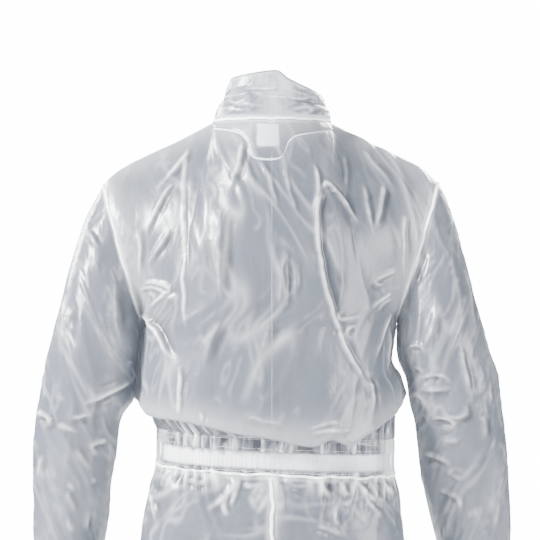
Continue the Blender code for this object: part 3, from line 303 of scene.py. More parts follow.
FACING_EDGE = Table(
    "turn   depth",
    (10.0,  0.0100),
    (35.0,  0.0125),
    (57.0,  0.0189),
    (66.0,  0.0305),
    (72.5,  0.0537),
    (78.0,  0.0580),
    (88.0,  0.0592),
    (94.0,  0.0582),
    (98.5,  0.0545),
    (106.7, 0.0305),
    (114.0, 0.0232),
    (140.0, 0.0170),
    (170.0, 0.0130),
)
LABEL_TURN = (71.0, 97.5)
LABEL_DEPTH = (0.0030, 0.0425)

# ---------------------------------------------------------------- creases

# Each crease bends through its middle point. Across and down are in STEPs from the nape, as seen
# from behind, width and rise in millimetres, frost from 0 to 1.
CREASE = "x0 y0 xm ym x1 y1 width rise frost"
FROM_LIGHT = np.array((0.75, 0.65))
WANDER = 1.3                  # in STEPs, how far a crease strays and over what length
WANDER_CELL = 17
LINE_FROST = 1.70             # along a crease's own line, and in the halo beside it; the halo is partly the film's whitening and partly a painted highlight, brighter on the side towards the light
HALO_FROST = 0.45
FULL_SHADE_RISE = 3.6         # the rise of a crease with the darkest painted shade beside it
BACK_CREASES = Table(
    CREASE,
    # the packing crease down the left, and the pinch at its top
    (-88, 26, -89, 67, -87, 134, 2.6, 1.8, 0.8),
    (-87, 134, -88, 178, -86, 215, 2.6, 1.8, 0.8),
    (-92, 248, -92, 282, -93, 304, 3.2, 2.6, 0.9),
    (-89, 33, -92, 42, -122, 76, 4.4, 4.2, 1.0),
    (-98, 65, -112, 82, -129, 121, 4.4, 3.0, 0.5),
    (-102, 111, -114, 130, -129, 150, 4.4, 3.0, 0.5),
    # under the neck facing
    (-31, 21, -33, 47, -45, 74, 5.0, 4.2, 0.8),
    (-27, 39, -22, 58, -14, 74, 4.0, 2.0, 0.3),
    (-12, 43, -1, 67, 6, 97, 4.0, 2.0, 0.3),
    (12, 47, 17, 72, 28, 111, 4.0, 2.0, 0.3),
    # the long arch from the right blade down to the blouse
    (50, 72, 45, 97, 47, 134, 3.8, 5.4, 1.0),
    (47, 134, 55, 175, 67, 211, 3.8, 5.6, 1.0),
    (67, 211, 78, 240, 100, 274, 3.8, 4.6, 0.9),
    (50, 72, 54, 66, 61, 71, 3.2, 3.0, 0.6),
    (61, 71, 75, 88, 87, 108, 3.4, 3.2, 0.6),
    (41, 45, 46, 72, 36, 104, 3.6, 4.0, 0.8),
    # the V beside the right armhole
    (114, 65, 110, 87, 101, 117, 4.2, 4.2, 0.8),
    (92, 63, 97, 93, 101, 121, 4.2, 3.0, 0.5),
    (72, 34, 75, 56, 72, 80, 4.0, 2.2, 0.3),
    (92, 30, 106, 48, 132, 80, 7.0, 3.0, 0.3),
    (137, 97, 133, 118, 135, 169, 4.0, 3.0, 0.6),
    # the right armpit
    (127, 154, 115, 158, 104, 165, 3.4, 3.0, 0.5),
    (104, 165, 108, 168, 116, 166, 3.0, 2.4, 0.4),
    (121, 175, 111, 182, 97, 194, 3.6, 4.2, 0.8),
    (124, 181, 112, 187, 104, 197, 3.2, 2.6, 0.4),
    (122, 198, 115, 211, 98, 256, 4.2, 3.2, 0.5),
    (123, 207, 119, 235, 117, 259, 4.2, 3.0, 0.5),
    (72, 191, 69, 202, 95, 196, 3.2, 2.8, 0.6),
    (84, 207, 74, 215, 80, 224, 3.2, 3.0, 0.6),
    # the left armpit
    (-136, 110, -133, 140, -137, 165, 4.0, 3.0, 0.6),
    (-131, 168, -118, 166, -102, 172, 3.4, 3.8, 0.7),
    (-102, 172, -106, 175, -114, 171, 3.0, 3.0, 0.5),
    (-135, 174, -122, 171, -109, 175, 3.2, 3.0, 0.5),
    (-109, 175, -115, 183, -128, 193, 3.4, 4.0, 0.8),
    (-128, 176, -120, 180, -116, 186, 3.0, 2.2, 0.3),
    (-138, 200, -118, 213, -96, 255, 5.0, 5.2, 0.8),
    # soft bands down the middle
    (-51, 85, -53, 137, -50, 198, 9.0, 4.0, 0.35),
    (13, 126, 8, 167, 7, 198, 8.0, 3.6, 0.3),
    (19, 137, 23, 163, 21, 185, 5.0, 2.0, 0.2),
    (-49, 200, -61, 224, -68, 256, 8.0, 3.0, 0.25),
    (0, 202, -7, 224, -12, 246, 8.0, 3.0, 0.25),
    # along the blouse's hem
    (-70, 293, -70, 300, -69, 305, 3.0, 2.2, 0.7),
    (93, 263, 101, 275, 99, 312, 4.2, 3.2, 0.5),
    (34, 311, 57, 305, 71, 307, 4.0, 3.4, 0.5),
    (36, 314, 59, 313, 81, 312, 4.0, 3.4, 0.5),
    (-30, 296, 0, 303, 26, 308, 5.0, 3.0, 0.25),
)
FRONT_CREASES = Table(
    CREASE,
    (-60, 60, -66, 100, -72, 150, 6.0, 5.0, 0.6),
    (45, 70, 50, 110, 60, 160, 6.0, 5.0, 0.5),
    (118, 90, 112, 130, 116, 180, 5.0, 4.0, 0.6),
    (-122, 95, -116, 130, -120, 185, 5.0, 4.0, 0.6),
    (-126, 200, -100, 215, -70, 225, 6.0, 5.0, 0.7),
    (122, 198, 98, 210, 72, 222, 6.0, 5.0, 0.7),
    (30, 180, 33, 230, 28, 280, 5.0, 3.0, 0.4),
    (-28, 200, -32, 240, -26, 285, 5.0, 3.0, 0.4),
    (-88, 255, -60, 275, -40, 290, 5.0, 4.0, 0.5),
    (90, 250, 62, 272, 45, 288, 5.0, 4.0, 0.5),
    (85, 60, 96, 84, 92, 120, 5.0, 3.0, 0.4),
    (-96, 62, -88, 90, -94, 118, 5.0, 3.0, 0.4),
)
LEFT_SLEEVE_CREASES = Table(
    CREASE,
    (-140, 265, -168, 278, -193, 290, 5.2, 6.2, 0.9),
    (-204, 302, -192, 300, -180, 296, 4.2, 3.4, 0.6),
    (-242, 301, -233, 300, -225, 306, 4.2, 4.4, 0.7),
    (-225, 306, -229, 310, -240, 309, 4.0, 3.2, 0.4),
    (-216, 310, -204, 313, -195, 319, 4.0, 4.0, 0.7),
    (-210, 309, -209, 314, -206, 318, 3.6, 2.8, 0.4),
    (-168, 328, -177, 328, -184, 331, 4.2, 4.4, 0.8),
    (-184, 331, -182, 337, -174, 344, 4.0, 3.6, 0.6),
    (-185, 366, -182, 369, -178, 368, 3.6, 3.0, 0.5),
    (-201, 332, -193, 346, -180, 359, 4.4, 4.0, 0.6),
    (-209, 371, -204, 374, -199, 379, 4.0, 3.0, 0.5),
    (-209, 378, -205, 390, -199, 403, 4.2, 3.2, 0.5),
    (-211, 409, -207, 416, -203, 423, 4.0, 3.0, 0.5),
    (-192, 420, -190, 410, -187, 400, 4.0, 3.0, 0.4),
    (-233, 341, -237, 353, -240, 366, 5.0, 3.2, 0.4),
    (-188, 113, -181, 123, -174, 133, 4.0, 2.2, 0.4),
    (-150, 95, -152, 112, -149, 130, 4.0, 2.6, 0.5),
    (-158, 158, -160, 195, -152, 232, 7.0, 3.6, 0.3),
    (-205, 180, -212, 215, -214, 250, 7.0, 3.4, 0.3),
    (-220, 440, -205, 446, -190, 450, 5.0, 4.0, 0.5),
)
RIGHT_SLEEVE_CREASES = Table(
    CREASE,
    (148, 267, 166, 259, 184, 269, 4.0, 3.6, 0.6),
    (148, 272, 168, 274, 184, 269, 4.4, 4.4, 0.4),
    (170, 294, 183, 302, 196, 297, 4.0, 3.6, 0.4),
    (196, 297, 197, 293, 194, 290, 3.6, 3.0, 0.4),
    (160, 305, 174, 303, 185, 308, 4.0, 4.4, 0.7),
    (185, 308, 180, 313, 167, 313, 4.0, 3.2, 0.4),
    (171, 323, 183, 326, 195, 322, 4.0, 3.0, 0.4),
    (153, 340, 171, 344, 183, 352, 4.0, 4.4, 0.8),
    (180, 363, 185, 356, 197, 358, 4.0, 3.4, 0.5),
    (182, 359, 189, 365, 194, 361, 3.6, 2.8, 0.4),
    (169, 378, 183, 381, 193, 389, 4.0, 4.0, 0.7),
    (187, 384, 192, 388, 194, 393, 3.6, 3.0, 0.5),
    (141, 277, 153, 282, 156, 297, 4.0, 3.4, 0.5),
    (139, 231, 149, 230, 157, 240, 4.0, 3.4, 0.4),
    (144, 252, 152, 253, 153, 260, 3.6, 3.0, 0.4),
    (190, 225, 195, 257, 204, 297, 5.0, 3.4, 0.5),
    (191, 380, 192, 390, 194, 401, 4.0, 3.0, 0.5),
    (199, 404, 208, 401, 216, 396, 4.0, 3.0, 0.5),
    (220, 263, 221, 278, 220, 293, 5.0, 3.2, 0.4),
    (213, 301, 215, 312, 214, 324, 5.0, 3.2, 0.4),
    (232, 389, 230, 405, 226, 422, 5.0, 3.2, 0.4),
    (152, 120, 146, 150, 138, 180, 5.0, 3.4, 0.5),
    (196, 150, 202, 190, 206, 232, 7.0, 3.6, 0.3),
    (168, 190, 160, 215, 150, 240, 6.0, 3.4, 0.35),
    (216, 436, 200, 444, 186, 446, 5.0, 4.0, 0.5),
)
SEAT_CREASES = Table(
    CREASE,
    (-90, 351, -101, 359, -109, 381, 4.4, 3.4, 0.6),
    (-33, 355, -45, 377, -68, 394, 5.0, 4.4, 0.9),
    (-41, 361, -47, 385, -45, 398, 4.2, 3.2, 0.6),
    (-7, 363, -17, 373, -17, 385, 4.2, 3.2, 0.6),
    (69, 357, 71, 373, 79, 379, 4.2, 3.2, 0.6),
    (79, 355, 91, 373, 112, 390, 5.0, 4.4, 0.9),
    (99, 361, 103, 377, 114, 388, 4.2, 3.2, 0.6),
    (44, 363, 54, 373, 57, 383, 4.2, 3.2, 0.6),
    (42, 406, 59, 412, 77, 420, 3.4, 2.2, 0.4),
    (-33, 356, -37, 375, -43, 392, 4.0, 3.4, 0.8),
    (-48, 383, -48, 391, -43, 396, 3.4, 2.6, 0.6),
    (-7, 362, -11, 375, -18, 387, 4.2, 3.4, 0.7),
    (-5, 375, -9, 387, -16, 397, 4.0, 3.0, 0.6),
    (-22, 375, -18, 385, -14, 394, 3.4, 2.2, 0.4),
    (49, 366, 54, 375, 60, 372, 3.4, 2.8, 0.6),
    (70, 364, 74, 374, 80, 379, 4.0, 3.0, 0.7),
    (85, 362, 97, 385, 111, 404, 4.6, 3.6, 0.7),
    (110, 362, 116, 374, 125, 385, 4.6, 3.4, 0.6),
    (64, 383, 63, 402, 68, 406, 3.4, 2.6, 0.5),
    (72, 385, 75, 387, 78, 389, 3.0, 2.2, 0.4),
    (-106, 375, -98, 360, -89, 352, 4.6, 3.4, 0.6),
    (-87, 362, -72, 366, -62, 362, 3.4, 2.4, 0.5),
    (-30, 364, -20, 368, -10, 364, 3.4, 2.4, 0.5),
    (16, 366, 28, 368, 40, 365, 3.4, 2.2, 0.4),
    (-128, 372, -121, 390, -118, 412, 5.0, 3.0, 0.5),
    (6, 366, 9, 385, 8, 402, 3.6, 2.8, 0.5),
    (-60, 410, -70, 450, -66, 500, 8.0, 4.0, 0.3),
    (75, 430, 66, 470, 70, 520, 8.0, 4.0, 0.3),
    (-14, 545, -50, 525, -95, 520, 7.0, 6.0, 0.6),
    (14, 548, 52, 530, 98, 518, 7.0, 6.0, 0.6),
    (-40, 752, -80, 764, -122, 758, 7.0, 8.0, 0.7),
    (-52, 782, -84, 776, -110, 790, 6.0, 6.0, 0.6),
    (42, 760, 80, 752, 120, 764, 7.0, 8.0, 0.7),
    (50, 786, 84, 794, 114, 784, 6.0, 6.0, 0.6),
    (-60, 905, -88, 915, -118, 908, 6.0, 6.0, 0.5),
    (60, 912, 90, 902, 120, 914, 6.0, 6.0, 0.5),
    (-85, 820, -92, 850, -88, 885, 7.0, 4.0, 0.3),
    (88, 815, 84, 850, 90, 890, 7.0, 4.0, 0.3),
)
LAP_CREASES = Table(
    CREASE,
    (-8, 470, -34, 440, -70, 420, 6.0, 5.0, 0.6),
    (8, 468, 36, 444, 74, 415, 6.0, 5.0, 0.6),
    (-12, 548, -48, 505, -92, 480, 7.0, 6.0, 0.6),
    (12, 550, 50, 508, 96, 484, 7.0, 6.0, 0.6),
    (-50, 730, -82, 742, -116, 734, 7.0, 6.0, 0.5),
    (50, 736, 84, 726, 118, 738, 7.0, 6.0, 0.5),
    (-56, 770, -88, 762, -112, 774, 6.0, 5.0, 0.5),
    (54, 768, 86, 778, 112, 770, 6.0, 5.0, 0.5),
    (-62, 900, -90, 908, -116, 902, 6.0, 6.0, 0.5),
    (62, 906, 92, 898, 118, 908, 6.0, 6.0, 0.5),
    (-78, 590, -84, 640, -80, 690, 8.0, 5.0, 0.3),
    (80, 580, 86, 635, 82, 685, 8.0, 5.0, 0.3),
)
COLLAR_CREASES = Table(
    CREASE,
    (-33, -33, -2, -31, 6, -36, 3.0, 2.6, 0.7),
    (-4, -46, -3, -40, -3, -35, 2.6, 1.6, 0.4),
    (-27, -31, 13, -21, 50, -27, 3.4, 2.8, 0.7),
    (20, -40, 34, -34, 52, -33, 3.0, 1.8, 0.4),
    (-48, -18, -20, -14, 10, -12, 4.0, 1.6, 0.3),
    (14, -10, 34, -12, 56, -9, 4.0, 1.6, 0.3),
)


# ---------------------------------------------------------------- settings


class CoverallFilm(bpy.types.PropertyGroup):
    """The frosted film."""
    pitch: FloatProperty(name="Pitch", description="Spacing of the film's points",
                         default=0.0027, unit="LENGTH")
    back_pitch: FloatProperty(name="Back pitch", description="Spacing on the back panel",
                              default=0.0018, unit="LENGTH")
    depth: FloatProperty(name="Crease depth", description="Scale of every crease", default=1.0)
    colour: FloatVectorProperty(name="Colour", description="Frosted film", subtype="COLOR",
                                size=3, default=(0.108, 0.122, 0.150))
    crease_colour: FloatVectorProperty(name="Crease colour", description="Film where it is bent",
                                       subtype="COLOR", size=3, default=(0.95, 0.96, 0.98))
    cover: FloatProperty(name="Cover", description="How much the film hides", default=0.88,
                         subtype="FACTOR", min=0, max=1)
    roughness: FloatProperty(name="Roughness", description="Of the film's sheen", default=0.30,
                             subtype="FACTOR", min=0, max=1)


class CoverallTrim(bpy.types.PropertyGroup):
    """Seam tapes, elastic, label and stitches."""
    colour: FloatVectorProperty(name="Colour", description="White tape", subtype="COLOR",
                                size=3, default=(0.92, 0.93, 0.95))
    tape_half_width: FloatProperty(name="Tape half width", description="Of a seam tape",
                                   default=0.0021, unit="LENGTH")
    tape_half_wall: FloatProperty(name="Tape half thickness", description="Of a seam tape",
                                  default=0.0008, unit="LENGTH")
    stitch_pitch: FloatProperty(name="Stitch pitch", description="From stitch to stitch",
                                default=0.0036, unit="LENGTH")
    stitch_length: FloatProperty(name="Stitch length", description="Thread that shows",
                                 default=0.0024, unit="LENGTH")
    thread: FloatProperty(name="Thread", description="Radius of the thread", default=0.00030,
                          unit="LENGTH")


class CoverallZip(bpy.types.PropertyGroup):
    """The front zip."""
    tooth_pitch: FloatProperty(name="Tooth pitch", description="From tooth to tooth on one side",
                               default=0.0030, unit="LENGTH")
    tooth_width: FloatProperty(name="Tooth width", description="Across the zip",
                               default=0.0030, unit="LENGTH")
    tooth_height: FloatProperty(name="Tooth height", description="Along the zip",
                                default=0.0013, unit="LENGTH")
    tooth_sides: IntProperty(name="Tooth sides", description="Of each rounded tooth", default=8)


class CoverallStage(bpy.types.PropertyGroup):
    """Floor, light and camera."""
    distance: FloatProperty(name="Distance", description="Camera to the back of the garment",
                            default=3.0, unit="LENGTH")
    view_width: FloatProperty(name="View width", description="Width that the camera takes in",
                              default=0.783, unit="LENGTH")
    floor_colour: FloatVectorProperty(name="Floor", description="Pale floor", subtype="COLOR",
                                      size=3, default=(0.86, 0.87, 0.88))
    key: FloatProperty(name="Key light", description="Power of the key light", default=1200.0)
    fill: FloatProperty(name="Fill light", description="Power of the fill light", default=230.0)
    sky: FloatProperty(name="Sky", description="Strength of the light all round", default=0.42)
    backdrop: FloatProperty(name="Backdrop", description="Brightness of the plain background",
                            default=16.0)


# ---------------------------------------------------------------- shapes of the worn garment


def power(value, exponent):
    """The value raised to the exponent, its sign kept."""
    return np.sign(value) * np.abs(value) ** exponent


def ring(turn, left, right, back, front):
    """A level outline, squarer than an ellipse, that reaches this far to each side."""
    cos, sin = np.cos(turn), np.sin(turn)
    reach_x = np.where(cos >= 0, left, right)
    reach_y = np.where(sin >= 0, back, front)
    return reach_x * power(cos, 2 / ROUNDNESS), reach_y * power(sin, 2 / ROUNDNESS)


def side_of(turn):
    return np.where(np.cos(turn) >= 0, LEFT, RIGHT)


def mirrored(turn, side):
    """The turn itself on the left side, and its mirror image on the right."""
    return np.where(side == LEFT, turn, math.pi - turn)


def neck_curve(angle):
    """The neck's seam line, from 0 at the left to a right angle at the nape."""
    cos, sin = np.cos(angle), np.sin(angle)
    reach = np.where(sin >= 0, NECK_BACK, NECK_FRONT)
    drop = np.where(sin >= 0, 0.0, NECK_FRONT_DROP * np.abs(sin) ** NECK_FRONT_CURVE)
    return NECK_HALF_WIDTH * cos, NECK_CENTRE_Y + reach * sin, -drop


def top_seams(turn):
    """The bodice's upper edge: the armholes at the sides, the shoulders and the neck between."""
    side = side_of(turn)
    from_side = np.abs(mirrored(turn, side))
    share = np.clip(1 - from_side / SHOULDER_SHARE, 0, 1)
    arm_x = side * ARMHOLES("top_x", side)
    arm_z = ARMHOLES("top_z", side)
    half_turn = np.clip(from_side / SHOULDER_SHARE - 1, 0, 1) * (math.pi / 2)
    angle = mirrored(np.where(np.sin(turn) >= 0, half_turn, -half_turn), side)
    neck_x, neck_y, neck_z = neck_curve(angle)
    x = neck_x + (arm_x - neck_x) * share
    y = neck_y + (ARMHOLE_CENTRE_Y - neck_y) * share
    z = neck_z + (arm_z - neck_z) * share + SHOULDER_LINE("height", share)
    return x, y, z


def zip_parting(turn, x):
    """Leaves a gap for the zip at centre front."""
    apart = ZIP_HALF_OPENING * np.exp(-np.abs(x) / ZIP_PARTING_WIDTH)
    return np.where(np.sin(turn) < 0, x + side_of(turn) * apart, x)


def pit_height(turn):
    """The level of the armpits, which slopes from one side to the other."""
    toward_left = (1 + np.cos(turn)) / 2
    low, high = ARMHOLES("pit_z", RIGHT), ARMHOLES("pit_z", LEFT)
    return low + (high - low) * toward_left


def yoke(turn, down):
    """The bodice from its upper edge (0) to the armpits (1)."""
    top_x, top_y, top_z = top_seams(turn)
    left, right, back, front = BODICE.each(0)
    low_x, low_y = ring(turn, left, right, back, front)
    side = side_of(turn)
    pit_x = side * ARMHOLES("pit_x", side)
    low_x = low_x * pit_x / (side * np.where(side == LEFT, left, right))
    q = (1 - np.cos(math.pi * down)) / 2
    centred = np.abs(np.sin(turn))
    from_side = np.abs(mirrored(turn, side)) / (math.pi / 2)
    exponent = SHOULDER_ROUND + NAPE_ROUND * centred ** 2
    rise = (1 - (1 - q) ** 2) ** exponent
    level = np.sin(math.pi * q) ** 2
    at_edge = (1 - from_side) ** ARMHOLE_EDGE_CURVE
    bulge = ARMHOLE_DEPTH * (1 - from_side) ** ARMHOLE_BULGE_CURVE
    bulge = bulge * (np.sin(math.pi * down) * at_edge + level * (1 - at_edge))
    bulge = bulge + BLADE_FULLNESS * centred ** 2 * level
    x = top_x + (low_x - top_x) * q
    y = top_y + (low_y + ARMHOLE_CENTRE_Y * (1 - centred) - top_y) * rise
    y = y + np.sign(np.sin(turn)) * bulge
    z = top_z + (pit_height(turn) - top_z) * q
    return zip_parting(turn, x), y, z


def hem_x(turn):
    return ring(turn, *BODICE.each(1))[0]


def zip_ease(turn):
    """1 where the bodice hangs free, down to 0 along the zip, which keeps it straight."""
    return np.where(np.sin(turn) < 0, 1 - np.exp(-(hem_x(turn) / ZIP_STRAIGHT) ** 2), 1.0)


def hem_drop(turn):
    return np.where(np.sin(turn) >= 0, HEM("back", hem_x(turn)), HEM("front", hem_x(turn)))


def side_set(turn, y):
    """Sets the side seams as far forward as the armholes."""
    return y + ARMHOLE_CENTRE_Y * (1 - np.abs(np.sin(turn)))


def bodice_reach(turn, fall):
    """The bodice's reach to each side at this fall, its front held straight by the zip."""
    left, right, back, front = BODICE.each(fall)
    ease = zip_ease(turn)
    return left, right, back, front * ease + BODICE("front", 0) * (1 - ease)


def blouse(turn, fall):
    """The bodice from the armpits (0) to the blouse's hem (1)."""
    x, y = ring(turn, *bodice_reach(turn, fall))
    z = pit_height(turn) + (BLOUSE_ROLL - hem_drop(turn) - pit_height(turn)) * fall
    return zip_parting(turn, x), side_set(turn, y), z


def roll(turn, bend):
    """The turn under at the blouse's hem."""
    ease = zip_ease(turn)
    inset = BLOUSE_ROLL * (1 - np.cos(bend)) * ease
    x, y = ring(turn, *(reach - inset for reach in bodice_reach(turn, 1)))
    sink = BLOUSE_ROLL * (np.sin(bend) * ease + ZIP_SINK * bend / math.pi * (1 - ease))
    return zip_parting(turn, x), side_set(turn, y), BLOUSE_ROLL - hem_drop(turn) - sink


def waist(turn, z, wave):
    """The garment round the waist at this height, standing out by the wave."""
    x, y = ring(turn, *(reach + wave for reach in HIPS.each(-z)))
    return zip_parting(turn, x), side_set(turn, y), z + WAIST_TILT * x


def centre_parting(share, drop):
    """Half the gap between the trouser halves: the zip's, closing to a seam below it."""
    closing = np.clip((drop - ZIP_END_DROP) / ZIP_CLOSING, 0, 1)
    front = ZIP_HALF_OPENING + (CENTRE_SEAM_HALF - ZIP_HALF_OPENING) * closing
    return np.where(share < 0.5, front, CENTRE_SEAM_HALF)


def hips(side, share, down):
    """A trouser half from the waist (0) to the crotch (1): share 0 is centre front, 1 is back."""
    turn = mirrored(math.pi * (share - 0.5), side)
    drop = -CASING_BOTTOM + (CROTCH_DROP + CASING_BOTTOM) * down
    left, right, back, front = HIPS.each(drop)
    x, y = ring(turn, left, right, back, front)
    y = side_set(turn, y)
    half = np.where(side == LEFT, left, right) / 2
    tube_x = side * half * (1 - np.cos(2 * math.pi * share))
    tube_y = (back - front) / 2 - (back + front) / 2 * np.sin(2 * math.pi * share)
    down = np.clip(down, 0, 1)
    rise = 1 - (1 - down ** RISE_CURVE) ** (1 / RISE_CURVE)
    at_rise = np.abs(np.cos(math.pi * share)) ** RISE_WIDTH_CURVE
    closed = rise * at_rise + smooth(down, 0, 1) * (1 - at_rise)
    x = x + (tube_x - x) * closed
    y = y + (tube_y - y) * closed
    x = x + side * centre_parting(share, drop) * np.exp(-np.abs(x) / ZIP_PARTING_WIDTH)
    tilt = WAIST_TILT * (1 - down) ** 2
    return x, y, -drop + tilt * x


def leg(side, share, drop):
    """A leg below the crotch: share 0 and 1 are its inseam."""
    around = 2 * math.pi * share
    mid_x, half_x, mid_y, half_y = LEG.each(drop)
    return side * (mid_x - half_x * np.cos(around)), mid_y - half_y * np.sin(around), -drop


def sleeve(side, share, row):
    """A sleeve, from its armhole at row 0: share 0 and 1 are its underarm seam."""
    around = 2 * math.pi * share
    outer_x, outer_z, inner_x, inner_z, mid_y, depth = SLEEVES[side].each(row)
    x = (outer_x + inner_x) / 2 - (outer_x - inner_x) / 2 * np.cos(around)
    z = (outer_z + inner_z) / 2 - (outer_z - inner_z) / 2 * np.cos(around)
    return side * x, mid_y + depth * np.sin(around), z


def collar(angle, height):
    """The collar from its seam (0) to its edge (1), round the neck from 0 at the left."""
    base_x, base_y, base_z = neck_curve(angle)
    edge_x, edge_y, edge_z = COLLAR_EDGE.each(np.degrees(angle))
    x = base_x + (edge_x - base_x) * height
    y = base_y + (edge_y - base_y) * height
    z = base_z + SEAM + (edge_z - base_z) * height
    out = COLLAR_BUCKLE("out", height) * np.clip(COLLAR_BUCKLE_START + np.sin(angle), 0, 1)
    apart = np.exp(-np.abs(x) / ZIP_PARTING_WIDTH) * (np.sin(angle) < 0)
    x = x + side_of(angle) * ZIP_HALF_OPENING * apart
    return x + out * np.cos(angle), y + out * np.sin(angle), z


# ---------------------------------------------------------------- fields on a grid of points


def points(surface):
    return np.stack(np.broadcast_arrays(*surface), axis=-1).astype(float)


def unit(ways):
    """The same ways, each of length 1."""
    return ways / np.maximum(np.linalg.norm(ways, axis=-1, keepdims=True), 1e-12)


def levelled(ways):
    """The same ways without their rise."""
    return ways * np.array((1, 1, 0))


def path_lengths(path):
    """The distance along a path at each of its points."""
    steps = np.linalg.norm(np.diff(path, axis=0), axis=1)
    return np.concatenate(((0,), np.cumsum(steps)))


def smooth(value, start, end):
    """0 at the start, 1 at the end, eased."""
    t = np.clip((value - start) / (end - start), 0, 1)
    return t * t * (3 - 2 * t)


def normals(grid):
    """Unit normals of a grid of points, away from the middle of its rows."""
    facing = unit(np.cross(np.gradient(grid, axis=1), np.gradient(grid, axis=0)))
    away = grid - grid.mean(axis=1, keepdims=True)
    return facing * np.sign(np.sum(facing * away))


def lengths(grid):
    """Distances along the film at each point: across from the first column, down from the top."""
    across = np.linalg.norm(np.diff(grid, axis=1), axis=2)
    down = np.linalg.norm(np.diff(grid, axis=0), axis=2)
    across = np.concatenate((np.zeros((grid.shape[0], 1)), np.cumsum(across, axis=1)), axis=1)
    down = np.concatenate((np.zeros((1, grid.shape[1])), np.cumsum(down, axis=0)), axis=0)
    return across, down


def ripple(u, v, seed):
    """Smooth noise from about -1 to 1, one bump to a unit."""
    angles = np.random.default_rng(seed).uniform(0, 2 * math.pi, (64, 64))
    i, j = np.floor(u).astype(int), np.floor(v).astype(int)
    s, t = u - i, v - j
    ease_s, ease_t = s ** 3 * (s * (s * 6 - 15) + 10), t ** 3 * (t * (t * 6 - 15) + 10)

    def corner(di, dj):
        angle = angles[(i + di) % 64, (j + dj) % 64]
        return np.cos(angle) * (s - di) + np.sin(angle) * (t - dj)

    near = corner(0, 0) * (1 - ease_s) + corner(1, 0) * ease_s
    far = corner(0, 1) * (1 - ease_s) + corner(1, 1) * ease_s
    return 1.4 * (near * (1 - ease_t) + far * ease_t)


def crinkle(u, v, seed, blunt=0.05):
    """Wandering ridges from 0 to 1, this blunt, broken where the film lies smooth."""
    bend = 0.35 * ripple(u * 0.7, v * 0.7, seed + 50)
    off = np.sqrt(ripple(u + bend, v - bend, seed) ** 2 + blunt ** 2) - blunt
    line = 1 - np.clip(off * 2.6, 0, 1)
    return line ** 1.6 * smooth(ripple(u * 0.45, v * 0.45, seed + 90), -0.25, 0.35)


def nearest(place, path):
    """Each place's gap to a path, its side (1 is away from the light) and its share along it."""
    best = np.full(len(place), 1e9)
    side, along = np.zeros((2, len(place)))
    for k, (start, end) in enumerate(zip(path, path[1:])):
        line = end - start
        away = place - start
        t = np.clip(away @ line / (line @ line), 0, 1)
        beyond = away - t[:, None] * line
        gap = np.linalg.norm(beyond, axis=1)
        closer = gap < best
        best[closer] = gap[closer]
        side[closer] = np.sign(beyond @ FROM_LIGHT)[closer]
        along[closer] = ((k + t) / (len(path) - 1))[closer]
    return best, side, along


def crease_lines(grid, creases, facing_way, pitch):
    """Heights, frost and painted shade of the placed creases, on the side facing this way along Y.

    Rows that share an end run on as one crease.
    """
    height, depth, frost, shade = np.zeros((4, *grid.shape[:2]))
    seen = np.stack((-grid[..., 0], -grid[..., 2]), axis=-1) / STEP
    u, v = seen[..., 0] / WANDER_CELL, seen[..., 1] / WANDER_CELL
    seen = seen + WANDER * np.stack((ripple(u, v, 3), ripple(u, v, 4)), axis=-1)
    patchy = 0.72 + 0.45 * ripple(seen[..., 0] / 7, seen[..., 1] / 7, 8)
    share = np.linspace(0, 1, 7)
    starts = {tuple(row[0:2]) for row in creases.rows}
    ends = {tuple(row[4:6]) for row in creases.rows}
    fine = max(0.9, 700 * pitch)
    for x0, y0, xm, ym, x1, y1, width, rise, white in creases.rows:
        bend = np.array((2 * xm - (x0 + x1) / 2, 2 * ym - (y0 + y1) / 2))
        start, end = np.array((x0, y0)), np.array((x1, y1))
        path = [(1 - s) ** 2 * start + 2 * s * (1 - s) * bend + s * s * end for s in share]
        reach = 5 * width / 1000 / STEP
        low, high = np.min(path, axis=0) - reach, np.max(path, axis=0) + reach
        inside = np.all((seen > low) & (seen < high), axis=-1)
        if not inside.any():
            continue
        best, side, along = nearest(seen[inside], path)
        best = best * STEP * 1000
        gap = np.sqrt(best ** 2 + (0.5 * fine) ** 2) / max(width, 1.6 * fine)
        begun = 1 if (x0, y0) in ends else smooth(along, 0, 0.25)
        ended = 0 if (x1, y1) in starts else smooth(along, 0.55, 1)
        taper = begun * (1 - ended)
        slope = gap * np.where(side > 0, 1.25, 0.80)
        crest = np.exp(-slope ** 1.2)
        hollow = np.exp(-(gap - 1.6) ** 2) * np.where(side > 0, 0.65, 0.15)
        line = LINE_FROST * np.exp(-(best / fine) ** 2)
        # the halo is partly the film's whitening and partly a painted highlight, stronger on the
        # side towards the light
        line += HALO_FROST * np.exp(-gap ** 2) * np.where(side > 0, 0.4, 1.0)
        # painted shade beside the crease, darkest on its side away from the light
        dark = np.exp(-(gap - 1.4) ** 2 * 1.2) * np.where(side > 0, 1.0, 0.25)
        for field, amount in ((height, rise / 1000 * taper * crest),
                              (depth, rise / 1000 * taper * hollow),
                              (frost, white * taper * line * patchy[inside]),
                              (shade, rise / FULL_SHADE_RISE * taper * dark)):
            field[inside] = np.maximum(field[inside], amount)
    way = normals(grid)[..., 1] * facing_way
    window = smooth(way, 0.02, 0.35)
    return (height - depth) * window, np.clip(frost, 0, 1) * window, shade * window


def edge_gap(grid, top=True, bottom=True, sides=True):
    """Distance along the film to the nearest of its chosen edges."""
    across, down = lengths(grid)
    gaps = [np.full(grid.shape[:2], 1.0)]
    if sides:
        gaps += [across, across[:, -1:] - across]
    if top:
        gaps += [down]
    if bottom:
        gaps += [down[-1:] - down]
    return np.min(gaps, axis=0)


def blurred(field):
    """The field with each point shared a little with its neighbours."""
    for axis in (0, 1):
        field = np.moveaxis(field, axis, 0).copy()
        field[1:-1] = (field[:-2] + 2 * field[1:-1] + field[2:]) / 4
        field = np.moveaxis(field, 0, axis)
    return field


